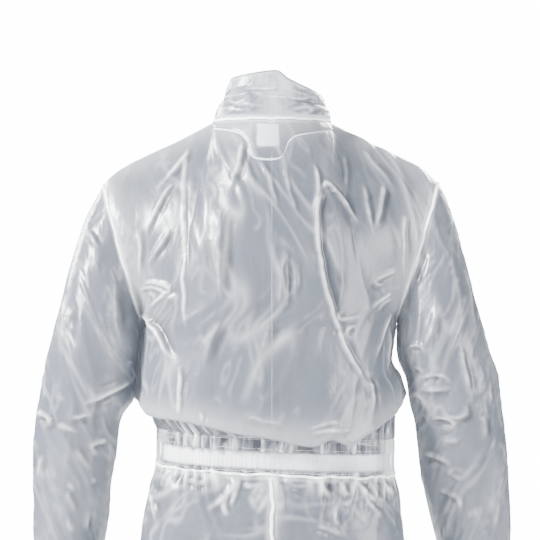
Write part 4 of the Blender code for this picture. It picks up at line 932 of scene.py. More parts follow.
class Sheet:
    """A panel of film while it is being shaped: its points, folds, frost, painted shade and
    contact.
    """

    def __init__(self, grid, seed):
        self.grid = grid
        self.seed = seed
        self.facing = normals(grid)
        self.across, self.down = lengths(grid)
        self.pitch = np.median(np.diff(self.down[:40], axis=0))
        self.frost, self.touch, self.shade, self.height = np.zeros((4, *grid.shape[:2]))
        self.depth = bpy.context.scene.coverall_film.depth

    def add_creases(self, creases, facing_way):
        height, frost, shade = crease_lines(self.grid, creases, facing_way, self.pitch)
        self.height += height
        self.frost = np.maximum(self.frost, frost)
        self.shade = np.maximum(self.shade, shade)

    def add_crinkles(self, cell, length, rise, frost=0.3, slant=0.0):
        """Ridges a cell apart and this long, leaning by the slant, with painted shade beside them.
        """
        u = (self.across + slant * self.down) / cell
        v = self.down / length
        self.seed += 7
        blunt = 1.3 * self.pitch / min(cell, length)
        line = crinkle(u, v, self.seed, blunt)
        self.height += rise * line
        self.frost = np.maximum(self.frost, frost * line ** 4)
        # painted shade beside each ridge, deeper the higher the ridge
        beside = crinkle(u + 0.16, v + 0.05, self.seed, blunt)
        self.shade = np.maximum(self.shade, 0.5 * rise / 0.003 * beside ** 1.5 * (1 - line))

    def add_swell(self, cell, length, rise):
        self.seed += 7
        self.height += rise * ripple(self.across / cell, self.down / length, self.seed)

    def add_bends(self, where, least, *crinkles):
        """Crinkles across a limb where it bends, all lower on the sides that face left or right."""
        before = self.height.copy()
        for sizes in crinkles:
            self.add_crinkles(*sizes)
        level = least + (1 - least) * np.abs(self.facing[..., 1])
        self.height = level * (before + (self.height - before) * where)

    def add_puckers(self, noise, rise, fade):
        """Puckers off a seam, blunt at their feet, that fade away from it."""
        self.height += rise * np.sqrt(noise ** 2 + 0.03) * fade

    def add_seam_band(self, gap, width, frost):
        """The overlap at a seam, where two layers of film are whiter than one."""
        band = 1 - smooth(gap, width, width + 0.0015)
        self.frost = np.maximum(self.frost, frost * band)

    def fields(self):
        """What the film's material reads at each point."""
        shade = blurred(np.clip(self.shade, 0, 1))
        return {"frost": blurred(self.frost), "touch": self.touch, "shade": shade}

    def finish(self, gap, fade):
        """Raises the film, less and less towards the edges that it is sewn by."""
        window = smooth(gap, 0, fade)
        rise = blurred(self.height) * window * self.depth
        return self.grid + self.facing * rise[..., None]


def irregular(turn):
    """A slow drift that makes gathers uneven."""
    return 0.42 * np.sin(5.1 * turn + 0.6) + 0.30 * np.sin(11.3 * turn + 2.0)


def waist_wave(turn):
    """How far the film stands out in its gathers round the waist."""
    behind = np.sin(turn) >= 0
    span = (math.pi - 2 * SIDE_GAP) / GATHERS_BEHIND
    front_span = (math.pi / 2 - SIDE_GAP) / GATHERS_IN_FRONT
    from_side = np.where(np.cos(turn) >= 0, -turn, turn - math.pi)
    share = np.where(behind, (turn - SIDE_GAP) / span, (from_side - SIDE_GAP) / front_span)
    drift = irregular(turn) * np.clip(np.abs(np.cos(turn)) * 8, 0, 1)
    wave = np.cos(2 * math.pi * (share + drift * np.sin(turn) ** 2))
    wave = np.sign(wave) * np.abs(wave) ** 0.8
    uneven = 1 + sum(part * np.sin(times * turn + start) for part, times, start in UNEVEN_BODY)
    from_zip = np.where(np.cos(turn) >= 0, turn + math.pi / 2, 3 * math.pi / 2 - turn)
    return WAIST_GATHER * uneven * wave * np.clip(np.abs(from_zip) / GATHER_FADE, 0, 1)


def pleats(turns, heights):
    """Thin uneven pleats that run on through the pieces above and below the waist elastic."""
    lean = 0.35 * ripple(turns * 1.3, turns * 0 + 0.5, 21)
    u = (turns * 0.165 + lean * (heights - CASING_TOP)) / 0.0105
    return crinkle(u, heights / 0.075 + 0.4, 77)


def band_wave(share, count, phase):
    """Gathers round a cuff or an ankle band."""
    drift = 0.25 * np.sin(2 * math.pi * share * 3 + phase)
    return BAND_GATHER * (1 + 0.3 * np.sin(4 * math.pi * share + phase)) * np.cos(
        2 * math.pi * (share * count + drift))


def cuff_wave(share):
    return band_wave(share, 14, 1.0)


def ankle_wave(share):
    return band_wave(share, 16, 2.0)


def spread(grid, amounts):
    """Rows of points moved level, away from the middle of each."""
    away = unit(levelled(grid - grid.mean(axis=1, keepdims=True)))
    return grid + away * amounts[..., None]


# ---------------------------------------------------------------- meshes and materials


def make_mesh(name, vertices, faces, uv=None, fields=None):
    mesh = bpy.data.meshes.new(name)
    mesh.from_pydata(np.asarray(vertices).tolist(), [], [list(face) for face in faces])
    mesh.update()
    if uv is not None:
        layer = mesh.uv_layers.new(name="UVMap")
        loops = np.zeros(len(mesh.loops), dtype=np.int32)
        mesh.loops.foreach_get("vertex_index", loops)
        layer.data.foreach_set("uv", np.asarray(uv, dtype=np.float32)[loops].ravel())
    for field, values in (fields or {}).items():
        attribute = mesh.attributes.new(field, "FLOAT", "POINT")
        attribute.data.foreach_set("value", np.asarray(values, dtype=np.float32).ravel())
    mesh.shade_smooth()
    thing = bpy.data.objects.new(name, mesh)
    bpy.context.scene.collection.objects.link(thing)
    return thing


def grid_faces(rows, columns, wrap):
    """Quads between the rows of a grid, as four indices each."""
    column = np.arange(columns if wrap else columns - 1)
    row = np.arange(rows - 1)[:, None]
    beside = (column + 1) % columns
    corners = (row * columns + column, row * columns + beside,
               (row + 1) * columns + beside, (row + 1) * columns + column)
    return np.stack([np.broadcast_to(c, (rows - 1, len(column))).ravel() for c in corners], axis=1)


def grid_object(name, grid, wrap=False, fields=None, outward=None):
    """A mesh through a grid of points, its faces turned outwards."""
    rows, columns = grid.shape[:2]
    faces = grid_faces(rows, columns, wrap)
    flat = grid.reshape(-1, 3)
    a, b, d = (flat[faces[:, k]] for k in (0, 1, 3))
    away = np.asarray(outward, dtype=float) if outward is not None else a - flat.mean(axis=0)
    if np.sum(np.cross(b - a, d - a) * away) < 0:
        faces = faces[:, ::-1]
    uv = np.stack(lengths(grid), axis=-1).reshape(-1, 2)
    return make_mesh(name, flat, faces, uv, fields)


def clothe(thing, material, node=None):
    """Gives a piece of the garment its material and the node that it replaces."""
    if not thing.data.materials:
        thing.data.materials.append(material)
    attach(thing, GARMENT)
    if node:
        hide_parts(node)


def thicken(thing, thickness):
    """Gives a single layer a wall, inside its faces."""
    wall = thing.modifiers.new("wall", "SOLIDIFY")
    wall.thickness = thickness
    wall.offset = -1


def tape_object(name, path, out, half_width, half_wall, cyclic=False, sides=10):
    """A flat soft tape along a path: wide across it, thin along the directions out of it."""
    beyond = np.roll(path, -1, axis=0) - np.roll(path, 1, axis=0)
    step = unit(beyond if cyclic else np.gradient(path, axis=0))
    wide = unit(np.cross(out, step))
    thin = np.cross(step, wide)
    turn = np.arange(sides) * 2 * math.pi / sides
    across = power(np.cos(turn), 0.7) * half_width
    through = power(np.sin(turn), 0.7) * half_wall
    grid = path[:, None] + wide[:, None] * across[:, None] + thin[:, None] * through[:, None]
    rows = len(path)
    faces = (grid_faces(rows + cyclic, sides, True) % (rows * sides)).tolist()
    if not cyclic:
        faces += [list(range(sides)), list(range((rows - 1) * sides, rows * sides))]
    uv = points((across, path_lengths(path)[:, None])).reshape(-1, 2)
    thing = make_mesh(name, grid.reshape(-1, 3), faces, uv)
    point_outwards(thing)
    return thing


def point_outwards(thing):
    """Turns a closed mesh's faces outwards."""
    mesh = bmesh.new()
    mesh.from_mesh(thing.data)
    bmesh.ops.recalc_face_normals(mesh, faces=mesh.faces)
    mesh.to_mesh(thing.data)
    mesh.free()
    thing.data.shade_smooth()


class Nodes:
    """A small helper that builds and wires a node tree."""

    def __init__(self, tree):
        self.tree = tree

    def add(self, kind, settings=None, **inputs):
        node = self.tree.nodes.new(kind)
        for key, value in (settings or {}).items():
            setattr(node, key, value)
        for key, value in inputs.items():
            self.put(node.inputs[key.replace("_", " ")], value)
        return node

    def put(self, socket, value):
        if isinstance(value, bpy.types.NodeSocket):
            self.tree.links.new(value, socket)
        else:
            socket.default_value = value

    def maths(self, operation, *values, clamp=False):
        node = self.add("ShaderNodeMath", {"operation": operation, "use_clamp": clamp})
        for socket, value in zip(node.inputs, values):
            self.put(socket, value)
        return node.outputs[0]

    def blend(self, share, a, b):
        node = self.add("ShaderNodeMix", {"data_type": "RGBA"})
        for key, value in ((0, share), (6, a), (7, b)):
            self.put(node.inputs[key], value)
        return node.outputs[2]

    def mixed(self, share, a, b):
        node = self.add("ShaderNodeMixShader", Fac=share)
        self.put(node.inputs[1], a)
        self.put(node.inputs[2], b)
        return node.outputs[0]

    def place(self):
        return self.add("ShaderNodeTexCoord").outputs["Object"]

    def field(self, name):
        return self.add("ShaderNodeAttribute", {"attribute_name": name}).outputs["Fac"]

    def noise(self, place, scale, detail, **more):
        node = self.add("ShaderNodeTexNoise", Vector=place, Scale=scale, Detail=detail, **more)
        return node.outputs["Fac"]

    def wave(self, distance, length):
        return self.maths("SINE", self.maths("MULTIPLY", distance, 2 * math.pi / length))

    def bump(self, height, strength, distance, **more):
        node = self.add("ShaderNodeBump", Height=height, Strength=strength, Distance=distance,
                        **more)
        return node.outputs[0]

    def surface(self, **inputs):
        return self.add("ShaderNodeBsdfPrincipled", **inputs).outputs[0]

    def show(self, surface):
        self.add("ShaderNodeOutputMaterial", Surface=surface)


def new_material(name):
    material = bpy.data.materials.new(name)
    material.use_nodes = True
    material.node_tree.nodes.clear()
    return material, Nodes(material.node_tree)


def tinted(colour, share=1.0):
    """The colour, this much brighter or darker, with its alpha."""
    return (*(min(part * share, 1) for part in colour), 1)


def film_material(name, cover=None, seed=0.0):
    """Frosted film: cloudy and see-through, whiter where it is bent or lies double, darkened by
    painted shade where its shade field is set.
    """
    settings = bpy.context.scene.coverall_film
    cover = settings.cover if cover is None else cover
    material, nodes = new_material(name)
    frost, touch, shade = (nodes.field(field) for field in ("frost", "touch", "shade"))
    place = nodes.place()
    shifted = nodes.add("ShaderNodeMapping", Vector=place, Location=(seed, seed, seed),
                        Scale=(1, 1, 0.45)).outputs[0]
    cloud = nodes.noise(shifted, 22.0, 3.0, Roughness=0.55)
    mottle = nodes.noise(place, 260.0, 2.0)
    grain = nodes.noise(place, 2600.0, 1.0)
    pucker = nodes.noise(shifted, 95.0, 3.0, Distortion=0.8)
    cloudy = nodes.maths("MULTIPLY_ADD", cloud, 0.36, cover - 0.18)
    spotted = nodes.maths("MULTIPLY_ADD", mottle, 0.08, cloudy)
    denser = nodes.maths("MULTIPLY_ADD", frost, 0.34, spotted)
    clearer = nodes.maths("MULTIPLY", touch, 0.78)
    alpha = nodes.maths("SUBTRACT", denser, clearer, clamp=True)
    plain = nodes.blend(cloud, tinted(settings.colour, 0.90), tinted(settings.colour, 1.12))
    # painted shade: the shade field darkens the colour towards a quarter of the film's own
    darker = nodes.maths("MULTIPLY", shade, 0.75, clamp=True)
    hollow = nodes.blend(darker, plain, tinted(settings.colour, 0.25))
    colour = nodes.blend(frost, hollow, tinted(settings.crease_colour))
    fine = nodes.bump(grain, 0.10, 0.0002)
    bump = nodes.bump(pucker, 0.35, 0.0016, Normal=fine)
    sheen = nodes.maths("MULTIPLY_ADD", mottle, 0.10, settings.roughness - 0.05)
    surface = nodes.surface(Base_Color=colour, Roughness=sheen, Normal=bump, IOR=1.53,
                            Specular_IOR_Level=0.62)
    through = nodes.add("ShaderNodeBsdfTranslucent", Color=colour, Normal=bump).outputs[0]
    clear = nodes.add("ShaderNodeBsdfTransparent", Color=(0.96, 0.97, 0.985, 1)).outputs[0]
    nodes.show(nodes.mixed(alpha, clear, nodes.mixed(0.38, surface, through)))
    return material


def woven_material(name, colour, thread, relief, roughness=0.55, ribs=0.0):
    """A plain weave along the piece's own map, threads this far apart, with ribs across it."""
    material, nodes = new_material(name)
    place = nodes.add("ShaderNodeUVMap", {"uv_map": "UVMap"}).outputs[0]
    across, along, _ = nodes.add("ShaderNodeSeparateXYZ", Vector=place).outputs
    weave = nodes.maths("MULTIPLY", nodes.wave(across, thread), nodes.wave(along, thread))
    if ribs:
        weave = nodes.maths("MULTIPLY_ADD", nodes.wave(across, ribs), 1.6, weave)
    shade = nodes.maths("MULTIPLY_ADD", weave, 0.22, nodes.noise(nodes.place(), 340.0, 2.0))
    tint = nodes.blend(shade, tinted(colour, 0.80), tinted(colour))
    bump = nodes.bump(weave, 0.5, relief)
    nodes.show(nodes.surface(Base_Color=tint, Normal=bump, Roughness=roughness,
                             Sheen_Weight=0.15))
    return material


def solid_material(name, colour, roughness, metallic=0.0, scale=700.0, relief=0.00004):
    """Moulded plastic, thread or cast metal, with slight wear in its shade and polish."""
    material, nodes = new_material(name)
    noise = nodes.noise(nodes.place(), scale, 3.0)
    tint = nodes.blend(noise, tinted(colour, 0.86), tinted(colour))
    polish = nodes.maths("MULTIPLY_ADD", noise, 0.12, roughness - 0.06)
    bump = nodes.bump(noise, 0.4, relief)
    nodes.show(nodes.surface(Base_Color=tint, Roughness=polish, Normal=bump, Metallic=metallic))
    return material


def shared(name, maker, *arguments, **settings):
    """A material made once and used by several pieces."""
    return bpy.data.materials.get(name) or maker(name, *arguments, **settings)


def seam_tape():
    colour = tuple(bpy.context.scene.coverall_trim.colour)
    return shared("seam_tape_white", woven_material, colour, 0.0007, 0.00012)


def stitch_thread():
    return shared("stitch_thread", solid_material, (0.90, 0.91, 0.93), 0.5)


# ---------------------------------------------------------------- stitches and teeth


def row_tree():
    """Geometry nodes that set a rounded piece at even steps along every path of a mesh."""
    tree = bpy.data.node_groups.get("coverall_row")
    if tree:
        return tree
    tree = bpy.data.node_groups.new("coverall_row", "GeometryNodeTree")
    kinds = {"Geometry": "Geometry", "Pitch": "Float", "Width": "Float", "Wall": "Float",
             "Length": "Float", "Sides": "Int", "Rings": "Int", "Material": "Material"}
    for name, kind in kinds.items():
        tree.interface.new_socket(name, in_out="INPUT", socket_type="NodeSocket" + kind)
    tree.interface.new_socket("Geometry", in_out="OUTPUT", socket_type="NodeSocketGeometry")
    nodes = Nodes(tree)
    given = nodes.add("NodeGroupInput").outputs
    curve = nodes.add("GeometryNodeMeshToCurve", Mesh=given["Geometry"]).outputs[0]
    spaced = nodes.add("GeometryNodeCurveToPoints", {"mode": "LENGTH"}, Curve=curve,
                       Length=given["Pitch"])
    ball = nodes.add("GeometryNodeMeshUVSphere", Segments=given["Sides"], Rings=given["Rings"],
                     Radius=0.5).outputs[0]
    size = nodes.add("ShaderNodeCombineXYZ", X=given["Width"], Y=given["Wall"],
                     Z=given["Length"]).outputs[0]
    shaped = nodes.add("GeometryNodeTransform", Geometry=ball, Scale=size).outputs[0]
    turned = nodes.add("FunctionNodeAlignRotationToVector", {"axis": "Z"},
                       Vector=spaced.outputs["Tangent"]).outputs[0]
    laid = nodes.add("GeometryNodeInstanceOnPoints", Points=spaced.outputs[0], Instance=shaped,
                     Rotation=turned).outputs[0]
    real = nodes.add("GeometryNodeRealizeInstances", Geometry=laid).outputs[0]
    done = nodes.add("GeometryNodeSetMaterial", Geometry=real, Material=given["Material"])
    nodes.add("NodeGroupOutput", Geometry=done.outputs[0])
    return tree


def grown(name, paths, values):
    """The mesh of rounded pieces that the geometry nodes grow along these paths of points."""
    vertices, edges = [], []
    for path in paths:
        start = len(vertices)
        vertices += np.asarray(path).tolist()
        edges += [(start + k, start + k + 1) for k in range(len(path) - 1)]
    mesh = bpy.data.meshes.new(name + "_path")
    mesh.from_pydata(vertices, edges, [])
    source = bpy.data.objects.new(name + "_path", mesh)
    bpy.context.scene.collection.objects.link(source)
    modifier = source.modifiers.new("grow", "NODES")
    modifier.node_group = row_tree()
    for item in modifier.node_group.interface.items_tree:
        if item.in_out == "INPUT" and item.name in values:
            modifier[item.identifier] = values[item.name]
    bpy.context.view_layer.update()
    evaluated = source.evaluated_get(bpy.context.evaluated_depsgraph_get())
    made = bpy.data.meshes.new_from_object(evaluated)
    made.name = name
    thing = bpy.data.objects.new(name, made)
    bpy.context.scene.collection.objects.link(thing)
    source.modifiers.clear()
    bpy.data.objects.remove(source, do_unlink=True)
    made.shade_smooth()
    return thing


def stitch_rows(name, paths):
    """Rows of stitches along paths, as one piece."""
    trim = bpy.context.scene.coverall_trim
    thread = stitch_thread()
    clothe(grown(name, paths, {
        "Pitch": trim.stitch_pitch, "Width": 2 * trim.thread, "Wall": 2 * trim.thread,
        "Length": trim.stitch_length, "Sides": 6, "Rings": 4, "Material": thread}), thread)


# ---------------------------------------------------------------- bodice


def columns_for(length, pitch):
    """How many points lie along this length of film."""
    return max(8, int(round(length / pitch)))


def even_downs(count):
    """Steps down the yoke that lie evenly on the film."""
    downs = np.linspace(0, 1, 400)
    along = path_lengths(points(yoke(np.full(400, math.pi * 0.4), downs)))
    return np.interp(np.linspace(0, along[-1], count), along, downs)


def soften(grid, row, reach, passes):
    """Evens out the rows of a grid around this one."""
    window = np.clip(1 - np.abs(np.arange(len(grid)) - row) / reach, 0, 1)[1:-1, None, None]
    for _ in range(passes):
        middle = (grid[:-2] + 2 * grid[1:-1] + grid[2:]) / 4
        grid[1:-1] += (middle - grid[1:-1]) * window
    return grid


def bodice_rows(turns, pitch):
    """The bodice from its top seams down, over the blouse and under to the waist band."""
    yoke_rows = columns_for(YOKE_LENGTH, pitch)
    rows = [points(yoke(turns, down)) for down in even_downs(yoke_rows)]
    falls = np.linspace(0, 1, columns_for(BLOUSE_LENGTH, pitch))[1:]
    rows += [points(blouse(turns, fall)) for fall in falls]
    bends = np.linspace(0, ROLL_END, columns_for(ROLL_LENGTH, pitch * 0.8))[1:]
    rows += [points(roll(turns, bend)) for bend in bends]
    start = rows[-1]
    wave = waist_wave(turns)
    flat = points(waist(turns, CASING_TOP + SEAM, 0 * wave))
    end = points(waist(turns, CASING_TOP + SEAM, wave))
    for share in np.linspace(0, 1, columns_for(TUCK_LENGTH, pitch * 0.8))[1:]:
        gathered = flat + (end - flat) * smooth(share, -0.1, 0.8)
        row = start + (gathered - start) * share
        row[:, 2] -= TUCK_SLACK * math.sin(math.pi * share)
        rows.append(row)
    return soften(np.array(rows), yoke_rows - 1, 0.045 / pitch, 60)


def tucked(sheet, hem_row):
    """1 over the blouse, falling to 0 where its film turns under to the waist."""
    row = np.arange(len(sheet.grid))[:, None]
    return 1 - smooth(row, hem_row + 2, hem_row + 9)


def shape_bodice(turns, pitch, creases, facing_way, seed):
    """A bodice panel's film with its folds raised, and its distance from the seams."""
    grid = bodice_rows(turns, pitch)
    sheet = Sheet(grid, seed)
    hem_row = columns_for(YOKE_LENGTH, pitch) + columns_for(BLOUSE_LENGTH, pitch) - 1
    sheet.add_swell(0.11, 0.16, 0.0030)
    sheet.add_swell(0.045, 0.09, 0.0012)
    sheet.add_crinkles(0.052, 0.170, 0.0030, 0.25, 0.10)
    sheet.add_crinkles(0.034, 0.110, 0.0012, 0.22, -0.25)
    sheet.add_crinkles(0.019, 0.044, 0.0005, 0.12, 0.15)
    sheet.add_creases(creases, facing_way)
    over = tucked(sheet, hem_row)
    under = 1 - over
    gap = edge_gap(grid, bottom=False)
    wave = waist_wave(turns) / WAIST_GATHER
    fine = pleats(turns[None, :], grid[..., 2])
    sheet.height = sheet.height * over + PLEAT_RISE * fine * under
    ridge = np.maximum(0.35 * smooth(wave, 1.0, 1.4), fine ** 2.4)
    sheet.frost = sheet.frost * over + 0.9 * under * ridge
    # painted shade under the blouse's turn-under, darkest in the valleys between gathers and
    # lighter on the pleats
    painted_valley_shade = 0.45 + 0.45 * smooth(-wave, -0.4, 0.6)
    sheet.shade = sheet.shade * over + under * (1 - fine) * painted_valley_shade
    rim = 0.22 * np.exp(-(gap / 0.040) ** 2) * over
    sheet.frost = sheet.frost + (1 - sheet.frost) * rim
    above_hem = (np.arange(len(grid))[:, None] - hem_row) * pitch
    sheet.frost = np.maximum(sheet.frost, 0.22 * np.exp(-(above_hem / 0.030) ** 2) * over)
    sheet.add_seam_band(gap, 0.0060, 0.40)
    from_sides = edge_gap(grid, top=False, bottom=False)
    noise = ripple(sheet.down / 0.016, sheet.across / 0.060, seed + 3)
    sheet.add_puckers(noise, 0.0016, np.exp(-(from_sides - 0.008).clip(0) / 0.014))
    return sheet, gap


def facing_edge():
    """The facing's edge, by the turn round the neck in degrees and the depth below its seam."""
    turns = np.linspace(FACING_EDGE.rows[0, 0], FACING_EDGE.rows[-1, 0], 120)
    return turns, FACING_EDGE("depth", turns)


def under_back(neck_degrees, depth, under):
    """Points this far inside the back's film, by their turn round the neck and depth below."""
    turn = math.pi / 4 + np.radians(neck_degrees) / 2
    down = np.arccos(np.clip(1 - 2 * depth / -pit_height(turn), -1, 1)) / math.pi
    nudge = 1e-3
    beside = points(yoke(turn + nudge, down)) - points(yoke(turn - nudge, down))
    below = points(yoke(turn, down + nudge)) - points(yoke(turn, np.maximum(down - nudge, 0)))
    facing = unit(np.cross(beside, below))
    facing = facing * np.sign(facing[..., 1:2] + 0.3 * facing[..., 2:3])
    return points(yoke(turn, down)) - facing * under, facing


def press_on_trim(sheet):
    """The back film lies clear on the facing's tape and on the label beneath it."""
    turns, depth = facing_edge()
    line, _ = under_back(turns, depth + TAPE_BELOW, 0.0)
    near = sheet.grid[..., 2] > -0.085
    place = sheet.grid[near]
    gap = np.min(np.linalg.norm(place[:, None, (0, 2)] - line[None, :, (0, 2)], axis=2), axis=1)
    gap = np.where(place[:, 1] > 0.0, gap, 1.0)
    touch = 1 - smooth(gap, 0.0014, 0.0028)
    corners, _ = under_back(np.array(LABEL_TURN), np.array(LABEL_DEPTH), 0.0)
    (left, _, low), (right, _, high) = np.min(corners, axis=0), np.max(corners, axis=0)
    inside = (smooth(place[:, 0], left, left + 0.002)
              * smooth(-place[:, 0], -right, -right + 0.002)
              * smooth(place[:, 2], low, low + 0.002)
              * smooth(-place[:, 2], -high + 0.001, -high + 0.003))
    sheet.touch[near] = np.maximum(sheet.touch[near], np.maximum(touch, 0.9 * inside))
    sheet.height[near] *= 1 - 0.85 * np.maximum(touch, inside)


class COVERALL_OT_back(bpy.types.Operator):
    """Make the bodice's back panel"""
    bl_idname = "coverall.back"
    bl_label = "Bodice back"

    def execute(self, context):
        pitch = context.scene.coverall_film.back_pitch
        across = power(np.linspace(-1, 1, columns_for(BACK_WIDTH, pitch)), 1.15)
        turns = math.pi / 2 + (math.pi / 2 - SIDE_GAP) * across
        sheet, gap = shape_bodice(turns, pitch, BACK_CREASES, 1, 11)
        press_on_trim(sheet)
        grid = sheet.finish(gap, 0.012)
        thing = grid_object("back_film", grid, fields=sheet.fields())
        clothe(thing, shared("film_bodice", film_material), "bodice_back")
        stitch_rows("side_seam_stitches", [grid[:, 3], grid[:, -4]])
        return {"FINISHED"}


class COVERALL_OT_fronts(bpy.types.Operator):
    """Make the two front panels"""
    bl_idname = "coverall.fronts"
    bl_label = "Bodice fronts"

    def execute(self, context):
        pitch = context.scene.coverall_film.pitch
        for side, name in SIDES:
            turns = np.linspace(-SIDE_GAP, ZIP_TURN, columns_for(FRONT_WIDTH, pitch))
            turns = mirrored(turns, side)
            sheet, gap = shape_bodice(turns, pitch, FRONT_CREASES, -1, 200 + side)
            thing = grid_object(f"front_film_{name}", sheet.finish(gap, 0.014),
                                fields=sheet.fields(), outward=(side * 0.3, -1, 0))
            clothe(thing, shared("film_bodice", film_material),
                   f"bodice_front_{name}")
        return {"FINISHED"}


# ---------------------------------------------------------------- waist


class COVERALL_OT_waist(bpy.types.Operator):
    """Make the waist casing, its elastic and the seam below"""
    bl_idname = "coverall.waist"
    bl_label = "Waist"

    def execute(self, context):
        left = np.linspace(ZIP_TURN, 0, 240)[:-1]
        behind = np.linspace(0, math.pi, 520)[:-1]
        right = np.linspace(math.pi, 3 * math.pi / 2 - 1e-6, 240)
        turns = np.concatenate((left, behind, right))
        wave = waist_wave(turns)
        heights = np.linspace(CASING_TOP, CASING_BOTTOM, 26)
        pressed = smooth(heights, ELASTIC_BOTTOM - 0.003, ELASTIC_BOTTOM + 0.003) * (
            1 - smooth(heights, ELASTIC_TOP - 0.003, ELASTIC_TOP + 0.003))
        rows = [points(waist(turns, z, wave * (1 - 0.35 * p))) for z, p in zip(heights, pressed)]
        x, y = rows[0][:, 0], rows[0][:, 1]
        pressed = pressed[:, None]
        free = 1 - 0.8 * pressed
        sheet = Sheet(np.array(rows), 31)
        sheet.add_crinkles(0.010, 0.030, 0.0009, 0.4)
        sheet.add_crinkles(0.006, 0.014, 0.0005, 0.3, 0.4)
        tight = (0.35 + 0.65 * smooth(x, -0.176, -0.150)) * (1 - 0.6 * smooth(x, 0.158, 0.170))
        sheet.touch = pressed * tight
        milky = 0.55 * smooth(np.abs(x), 0.150, 0.172) * smooth(y, -0.02, 0.02)
        sheet.frost = np.maximum(sheet.frost, milky)
        fine = pleats(turns[None, :], heights[:, None])
        sheet.height += PLEAT_RISE * fine
        ridge = np.maximum(0.35 * smooth(wave / WAIST_GATHER, 1.0, 1.4), fine ** 2.4)
        sheet.frost = np.maximum(sheet.frost, 0.9 * ridge * free)
        # painted shade in the valleys between the gathers
        painted_valley_shade = smooth(-wave / WAIST_GATHER, -0.4, 0.6)
        sheet.shade = np.maximum(sheet.shade, 0.9 * painted_valley_shade * (1 - fine) * free)
        grid = sheet.finish(edge_gap(sheet.grid, sides=False), 0.004)
        thing = grid_object("casing_film", grid, fields=sheet.fields())
        clothe(thing, shared("film_casing", film_material, 0.84, 3.0),
               "waist_casing")
        self.elastic()
        self.seam(turns, wave)
        rows = [points(waist(turns, z, wave + 0.0007))
                for z in (ELASTIC_TOP + 0.004, ELASTIC_BOTTOM - 0.0025, CASING_TOP - 0.003)]
        stitch_rows("casing_stitches", rows)
        return {"FINISHED"}

    def elastic(self):
        inset = 0.06
        turns = np.linspace(-math.pi / 2 + inset, 3 * math.pi / 2 - inset, 620)
        inward = -(1.45 * WAIST_GATHER + WALL + SEAM)
        heights = np.linspace(ELASTIC_TOP, ELASTIC_BOTTOM, 8)
        ripples = 0.00035 * np.sin(turns * 150) + 0.0003 * np.sin(turns * 61 + 1)
        rows = [points(waist(turns, z, inward + ripples)) for z in heights]
        thing = grid_object("elastic_band", np.array(rows))
        thicken(thing, 0.0010)
        white = (0.97, 0.97, 0.98)
        weave = shared("elastic_weave", woven_material, white, 0.0011, 0.0002, 0.6, 0.0026)
        clothe(thing, weave, "waist_elastic")

    def seam(self, turns, wave):
        path = points(waist(turns, CASING_BOTTOM, wave * 0.8 + 0.0012))
        path[:, 2] += 0.0010 * np.sin(turns * 13) + 0.0007 * np.sin(turns * 29 + 1)
        out = unit(levelled(path))
        thing = tape_object("waist_seam_tape", path[::2], out[::2], 0.0019, 0.0007)
        clothe(thing, seam_tape(), "waist_seam_binding")


# ---------------------------------------------------------------- sleeves


def armhole_away(side):
    """The way out of the body across the armhole's plane."""
    top_x, top_z, pit_x, pit_z = ARMHOLES.each(side)
    return unit(np.array((top_z - pit_z, 0, side * (pit_x - top_x))) * side)


